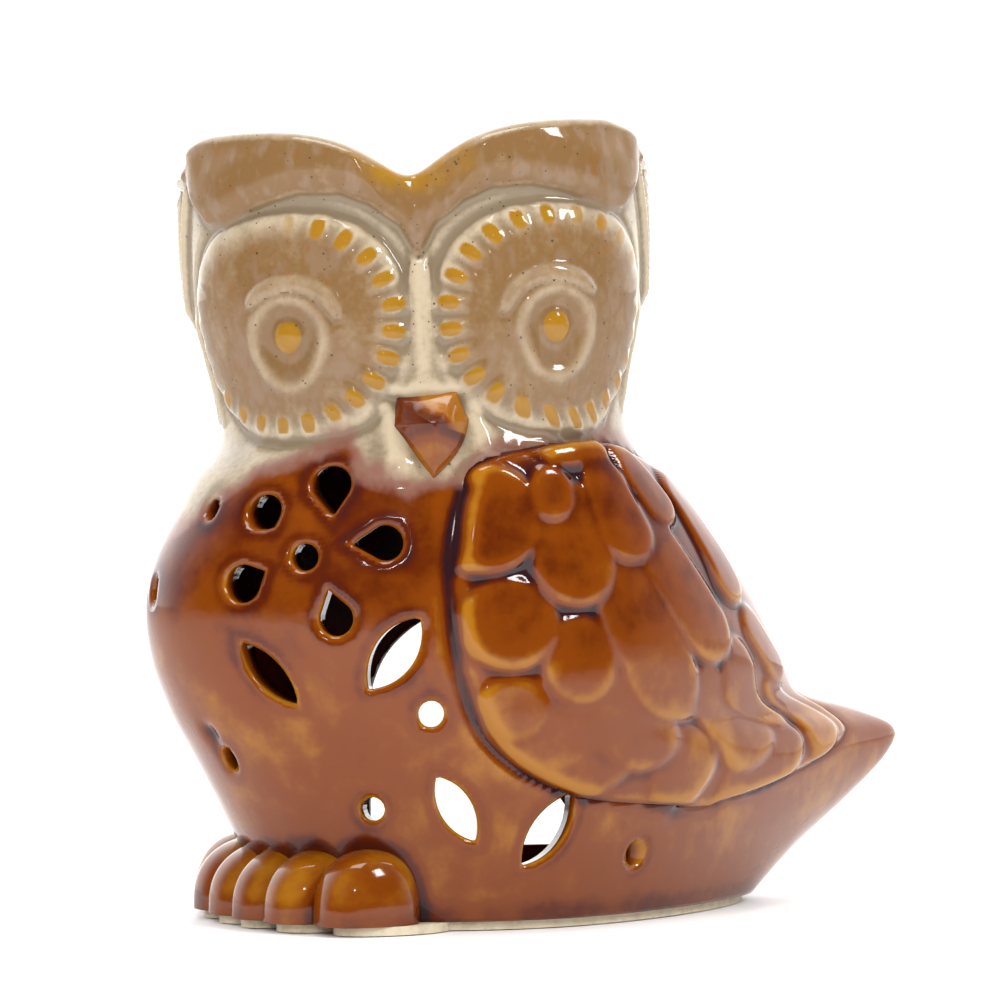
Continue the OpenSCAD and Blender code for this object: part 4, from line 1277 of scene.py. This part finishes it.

# %% [markdown]
# ## Glaze and clay
# One reactive glaze covers the owl. Where it is thin, on edges, it breaks to amber. Where it
# pools it turns to a dark purple brown. On the head it is an opaque speckled cream that runs
# mauve where it meets the brown. All of this follows the numbers stored at the corners and a
# few noises in the object's own space, and the colours are mixed in that order. The brown is
# also darkened by height: painted shade over the upper body, and a darker band at the foot.
# The sockets are wrapped in a small class, so that the recipe below reads as arithmetic.

# %% Shader arithmetic


class Value:
    """A shader socket that adds Math nodes when it is used in a sum."""

    def __init__(self, recipe, socket):
        self.recipe, self.socket = recipe, socket

    def _math(self, operation, *inputs, clamp=False):
        settings = {"operation": operation, "use_clamp": clamp}
        return self.recipe.node("ShaderNodeMath", settings, dict(enumerate(inputs)))

    def __add__(self, other):
        return self._math("ADD", self, other)

    def __radd__(self, other):
        return self._math("ADD", other, self)

    def __sub__(self, other):
        return self._math("SUBTRACT", self, other)

    def __rsub__(self, other):
        return self._math("SUBTRACT", other, self)

    def __mul__(self, other):
        return self._math("MULTIPLY", self, other)

    def __rmul__(self, other):
        return self._math("MULTIPLY", other, self)

    def clamped(self):
        """Held between 0 and 1."""
        return self._math("ADD", self, 0.0, clamp=True)

    def between(self, low, high):
        """A smooth step from 0 at low to 1 at high."""
        return self.recipe.node("ShaderNodeMapRange", {"interpolation_type": "SMOOTHSTEP"},
                                {"Value": self, "From Min": low, "From Max": high})

# %% A material's recipe
class Recipe:
    """A material's node tree, with one method that adds any node."""

    def __init__(self, name):
        self.material = bpy.data.materials.new(name)
        self.material.use_nodes = True
        self.tree = self.material.node_tree
        self.shader = self.tree.nodes["Principled BSDF"]
        self.place = self.node("ShaderNodeTexCoord", {}, {}, "Object").socket

    def node(self, kind, settings, inputs, output=0):
        """Adds a node: its settings first, then the values or links of its sockets."""
        made = self.tree.nodes.new(kind)
        for key, value in settings.items():
            setattr(made, key, value)
        for key, value in inputs.items():
            self.feed(made.inputs[key], value)
        return Value(self, made.outputs[output])

    def feed(self, socket, value):
        """Links a socket to another one, or sets its value."""
        if isinstance(value, Value):
            value = value.socket
        if isinstance(value, bpy.types.NodeSocket):
            self.tree.links.new(value, socket)
        else:
            socket.default_value = value

    def mark(self, name):
        """One of the numbers stored at the corners."""
        return self.node("ShaderNodeAttribute", {"attribute_name": name}, {}, "Fac")

    def noise(self, size, detail):
        """Noise whose blobs are about size millimetres."""
        inputs = {"Vector": self.place, "Scale": 1 / (size * MM), "Detail": detail}
        return self.node("ShaderNodeTexNoise", {}, inputs, "Fac")

    def stretched(self, size, stretch):
        """Noise drawn out along the height, as glaze runs."""
        drawn = {"Vector": self.place, "Scale": (1, 1, 1 / stretch)}
        spot = self.node("ShaderNodeMapping", {}, drawn, 0)
        inputs = {"Vector": spot, "Scale": 1 / (size * MM), "Detail": 2.0}
        return self.node("ShaderNodeTexNoise", {}, inputs, "Fac")

    def bump(self, height, strength, depth):
        """Fine bumps, depth millimetres deep."""
        inputs = {"Strength": strength, "Distance": depth * MM, "Height": height}
        return self.node("ShaderNodeBump", {}, inputs)

    def blend(self, factor, a, b):
        """Colour a turning into colour b."""
        made = self.tree.nodes.new("ShaderNodeMix")
        made.data_type = "RGBA"
        self.feed(made.inputs[0], factor)
        for socket, value in ((made.inputs[6], a), (made.inputs[7], b)):
            self.feed(socket, value if isinstance(value, Value) else (*value, 1.0))
        return Value(self, made.outputs[2])

# %% The owl's glaze
AMBER_THIN = (0.31, 0.118, 0.006)
BROWN = (0.168, 0.0345, 0.0008)
DEEP_BROWN = (0.080, 0.0100, 0.0004)
POOLED = (0.022, 0.006, 0.008)
CREAM = (0.45, 0.365, 0.250)
CREAM_THICK = (0.20, 0.150, 0.094)
TAN = (0.185, 0.100, 0.038)
MAUVE = (0.20, 0.092, 0.066)
OLIVE_AMBER = (0.29, 0.140, 0.010)
MAUVE_VEIL = (0.24, 0.165, 0.115)
AMBER_STREAK = (0.22, 0.090, 0.020)
SPECK = (0.05, 0.035, 0.025)
SPECK_GRID = 1.25
GLAZE_IOR = 1.43
CLAY_PALE, CLAY_SPOT, CLAY_GRAIN = (0.66, 0.58, 0.43), (0.55, 0.46, 0.32), (0.34, 0.26, 0.17)


def glaze(name, warmth=0.0):
    """The glaze, from the corner marks: pool, line, nub and tan."""
    r = Recipe(name)
    pool, line, nub, tan_mark = (r.mark(m) for m in MARKS)
    cloud = r.noise(14, 4)
    patch = r.noise(5, 3)
    fine = r.noise(1.1, 2)
    runs = r.stretched(3.6, 1.8)
    # Brown side: thin, general, deep and pooled glaze in turn
    height = r.node("ShaderNodeSeparateXYZ", {}, {"Vector": r.place}, "Z")
    # Painted shade: the brown darkens above 40 mm, where less light falls on the owl from the front,
    # and darkens again below 7 mm, at the foot.
    painted_shade_by_height = height.between(40 * MM, 72 * MM) * 0.22 + height.between(7 * MM, 3 * MM) * 0.24 - 0.08
    clouds = (cloud - 0.5) * 0.68 + (patch - 0.5) * 0.26 + (fine - 0.5) * 0.06
    # depth is the glaze's pooling and noise, plus this painted shade by height.
    depth = pool + clouds - warmth + painted_shade_by_height
    brown = r.blend(depth.between(0.0, 0.26), BROWN, DEEP_BROWN)
    brown = r.blend(depth.between(-0.03, -0.34), brown, AMBER_THIN)
    brown = r.blend(depth.between(0.20, 0.50), brown, POOLED)
    # Cream side
    settle = pool * 1.3 + (patch - 0.5) * 0.35 + (fine - 0.5) * 0.25
    cream = r.blend(settle.between(-0.25, 0.30), CREAM, CREAM_THICK)
    tan_amount = (tan_mark * 1.15 + (runs - 0.5) * 1.1 * tan_mark + (fine - 0.5) * 0.3).clamped()
    cream = r.blend(tan_amount, cream, TAN)
    mauve_veil = runs.between(0.50, 0.68) * tan_mark * 0.5
    cream = r.blend(mauve_veil, cream, MAUVE_VEIL)
    streak = r.stretched(2.2, 2.0).between(0.60, 0.74) * tan_mark * 0.6
    cream = r.blend(streak, cream, AMBER_STREAK)
    cream = r.blend((nub * (0.3 + patch * 1.3)).between(0.25, 0.85), cream, OLIVE_AMBER)
    # Iron specks, scattered and of uneven size
    grid = {"Vector": r.place, "Scale": 1 / (SPECK_GRID * MM)}
    cells = r.node("ShaderNodeTexVoronoi", {}, grid, "Distance")
    pick = r.node("ShaderNodeTexVoronoi", {}, grid, "Color")
    size = (pick - 0.42) * 0.42 + (r.noise(9, 2) - 0.5) * 0.14
    specks = (size - cells).between(-0.02, 0.05)
    cream = r.blend(specks * 0.85, cream, SPECK)
    # Where the two meet, the brown climbs in soft tongues through a mauve band
    front = line + (r.noise(9, 3) - 0.5) * 9 + (patch - 0.5) * 4
    colour = r.blend(front.between(-2.2, 0.8), brown, MAUVE)
    colour = r.blend(front.between(0.2, 4.2), colour, cream)
    r.feed(r.shader.inputs["Base Color"], colour)
    r.feed(r.shader.inputs["Roughness"], 0.055 + r.noise(3, 2) * 0.07)
    r.shader.inputs["IOR"].default_value = GLAZE_IOR
    ripple = r.noise(7, 2) * 0.8 + r.noise(1.6, 2) * 0.14
    r.feed(r.shader.inputs["Normal"], r.bump(ripple, 0.35, 0.22))
    return r.material

# %% Bare clay
def bare_clay(name):
    """Matt fired clay: a pale body with fine grain and faint iron spots."""
    r = Recipe(name)
    grain, spots = r.noise(0.5, 4), r.noise(2.5, 3)
    colour = r.blend(spots.between(0.35, 0.7), CLAY_PALE, CLAY_SPOT)
    colour = r.blend(grain.between(0.62, 0.75), colour, CLAY_GRAIN)
    r.feed(r.shader.inputs["Base Color"], colour)
    r.feed(r.shader.inputs["Roughness"], 0.75 + grain * 0.2)
    r.feed(r.shader.inputs["Normal"], r.bump(grain, 0.5, 0.15))
    return r.material

# %% Every piece gets its glaze
MATERIALS = {
    "body_glaze": glaze("body_glaze"),
    "head_glaze": glaze("head_glaze"),
    "brow_glaze": glaze("brow_glaze"),
    "amber_glaze": glaze("amber_glaze"),
    "beak_glaze": glaze("beak_glaze", warmth=0.02),
    "clay": bare_clay("clay"),
}
CAD_LOOKS = {"foot_ring": "clay", "chamber_floor": "body_glaze"}
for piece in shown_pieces():
    name = piece.get("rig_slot") or CAD_LOOKS[piece.get("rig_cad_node")]
    piece.data.materials.clear()
    piece.data.materials.append(MATERIALS[name])

# %% [markdown]
# ## Studio
# Glossy glaze shows mostly what it reflects, so the studio is built for its reflections. A plain
# pale floor runs to the horizon under a white sky, which is dim in front, where the room would
# be. A window on the right and a small lamp in front leave the crisp highlights, a panel over the
# table softens the top, and a fill from the front lights the colours without being reflected.

# %% Sizes and strengths
FLOOR_SIZE = 60.0
FLOOR_PALE, FLOOR_PALER = (0.93, 0.93, 0.93), (0.96, 0.955, 0.95)
ROOM_FROM, ROOM_TO = (-0.35, 0.10), (0.8, 3.2)
SEEN_WHITE = 1.08

# %% Floor and sky
def flat_floor():
    """A square of pale board under the owl, a hair below its foot."""
    corners = np.array([[-1, -1], [1, -1], [1, 1], [-1, 1]]) * FLOOR_SIZE / 2
    mesh = bpy.data.meshes.new("floor")
    mesh.from_pydata([(x, y, -0.0002) for x, y in corners], [], [(0, 1, 2, 3)])
    floor = bpy.data.objects.new("floor", mesh)
    bpy.context.scene.collection.objects.link(floor)
    r = Recipe("floor_board")
    r.feed(r.shader.inputs["Base Color"], r.blend(r.noise(300, 2), FLOOR_PALE, FLOOR_PALER))
    r.shader.inputs["Roughness"].default_value = 0.6
    r.shader.inputs["Specular IOR Level"].default_value = 0.2
    mesh.materials.append(r.material)


def sky():
    """Bright behind, dim in front. What the camera sees of it directly is plain white."""
    world = bpy.data.worlds.new("studio")
    bpy.context.scene.world = world
    world.use_nodes = True
    tree = world.node_tree
    tree.nodes.clear()
    add = tree.nodes.new
    place, split = add("ShaderNodeTexCoord"), add("ShaderNodeSeparateXYZ")
    tree.links.new(place.outputs["Generated"], split.inputs[0])
    span = add("ShaderNodeMapRange")
    span.interpolation_type = "SMOOTHSTEP"
    for end, (where, strength) in (("Min", ROOM_FROM), ("Max", ROOM_TO)):
        span.inputs["From " + end].default_value = where
        span.inputs["To " + end].default_value = strength
    tree.links.new(split.outputs["Y"], span.inputs["Value"])
    seen, room = add("ShaderNodeBackground"), add("ShaderNodeBackground")
    pick = add("ShaderNodeMixShader")
    seen.inputs["Color"].default_value = (1, 1, 1, 1)
    seen.inputs["Strength"].default_value = SEEN_WHITE
    tree.links.new(span.outputs["Result"], room.inputs["Strength"])
    ray, out = add("ShaderNodeLightPath"), add("ShaderNodeOutputWorld")
    tree.links.new(ray.outputs["Is Camera Ray"], pick.inputs["Fac"])
    tree.links.new(room.outputs[0], pick.inputs[1])
    tree.links.new(seen.outputs[0], pick.inputs[2])
    tree.links.new(pick.outputs[0], out.inputs["Surface"])

# %% Lamps
def softbox(name, place, target, size, power, reflected=True):
    """A rectangular area light that faces the target. A fill light leaves no highlight."""
    light = bpy.data.lights.new(name, "AREA")
    light.shape, light.size, light.size_y, light.energy = "RECTANGLE", size[0], size[1], power
    box = bpy.data.objects.new(name, light)
    box.location = place
    box.visible_glossy = reflected
    aim = Vector(target) - Vector(place)
    box.rotation_euler = aim.to_track_quat("-Z", "Y").to_euler()
    bpy.context.scene.collection.objects.link(box)


flat_floor()
sky()
softbox("front_fill", (-0.45, -1.2, 0.75), (0, 0, 0.08), (1.2, 0.8), 17, reflected=False)
softbox("window", (0.62, -0.42, 0.68), (0.02, 0, 0.09), (0.16, 0.26), 4)
softbox("small_lamp", (0.10, -0.9, 0.40), (0, 0, 0.09), (0.035, 0.025), 0.25)
softbox("over_table", (-0.05, -0.12, 1.0), (0, 0, 0.05), (0.5, 0.4), 5)

# %% Camera
LOOK_X, LOOK_Y, LOOK_Z = -7.1, -796.0, 78.7
camera_data = bpy.data.cameras.new("camera")
camera_data.lens, camera_data.sensor_width = 149.6, 36.0
camera_data.clip_start = 0.05
camera = bpy.data.objects.new("camera", camera_data)
camera.location = (LOOK_X * MM, LOOK_Y * MM, LOOK_Z * MM)
camera.rotation_euler = (np.pi / 2, 0, 0)
bpy.context.scene.collection.objects.link(camera)
bpy.context.scene.camera = camera
bpy.context.scene.view_settings.view_transform = "Standard"
print("camera", round(-LOOK_Y), "mm in front, lens", camera_data.lens, "mm")
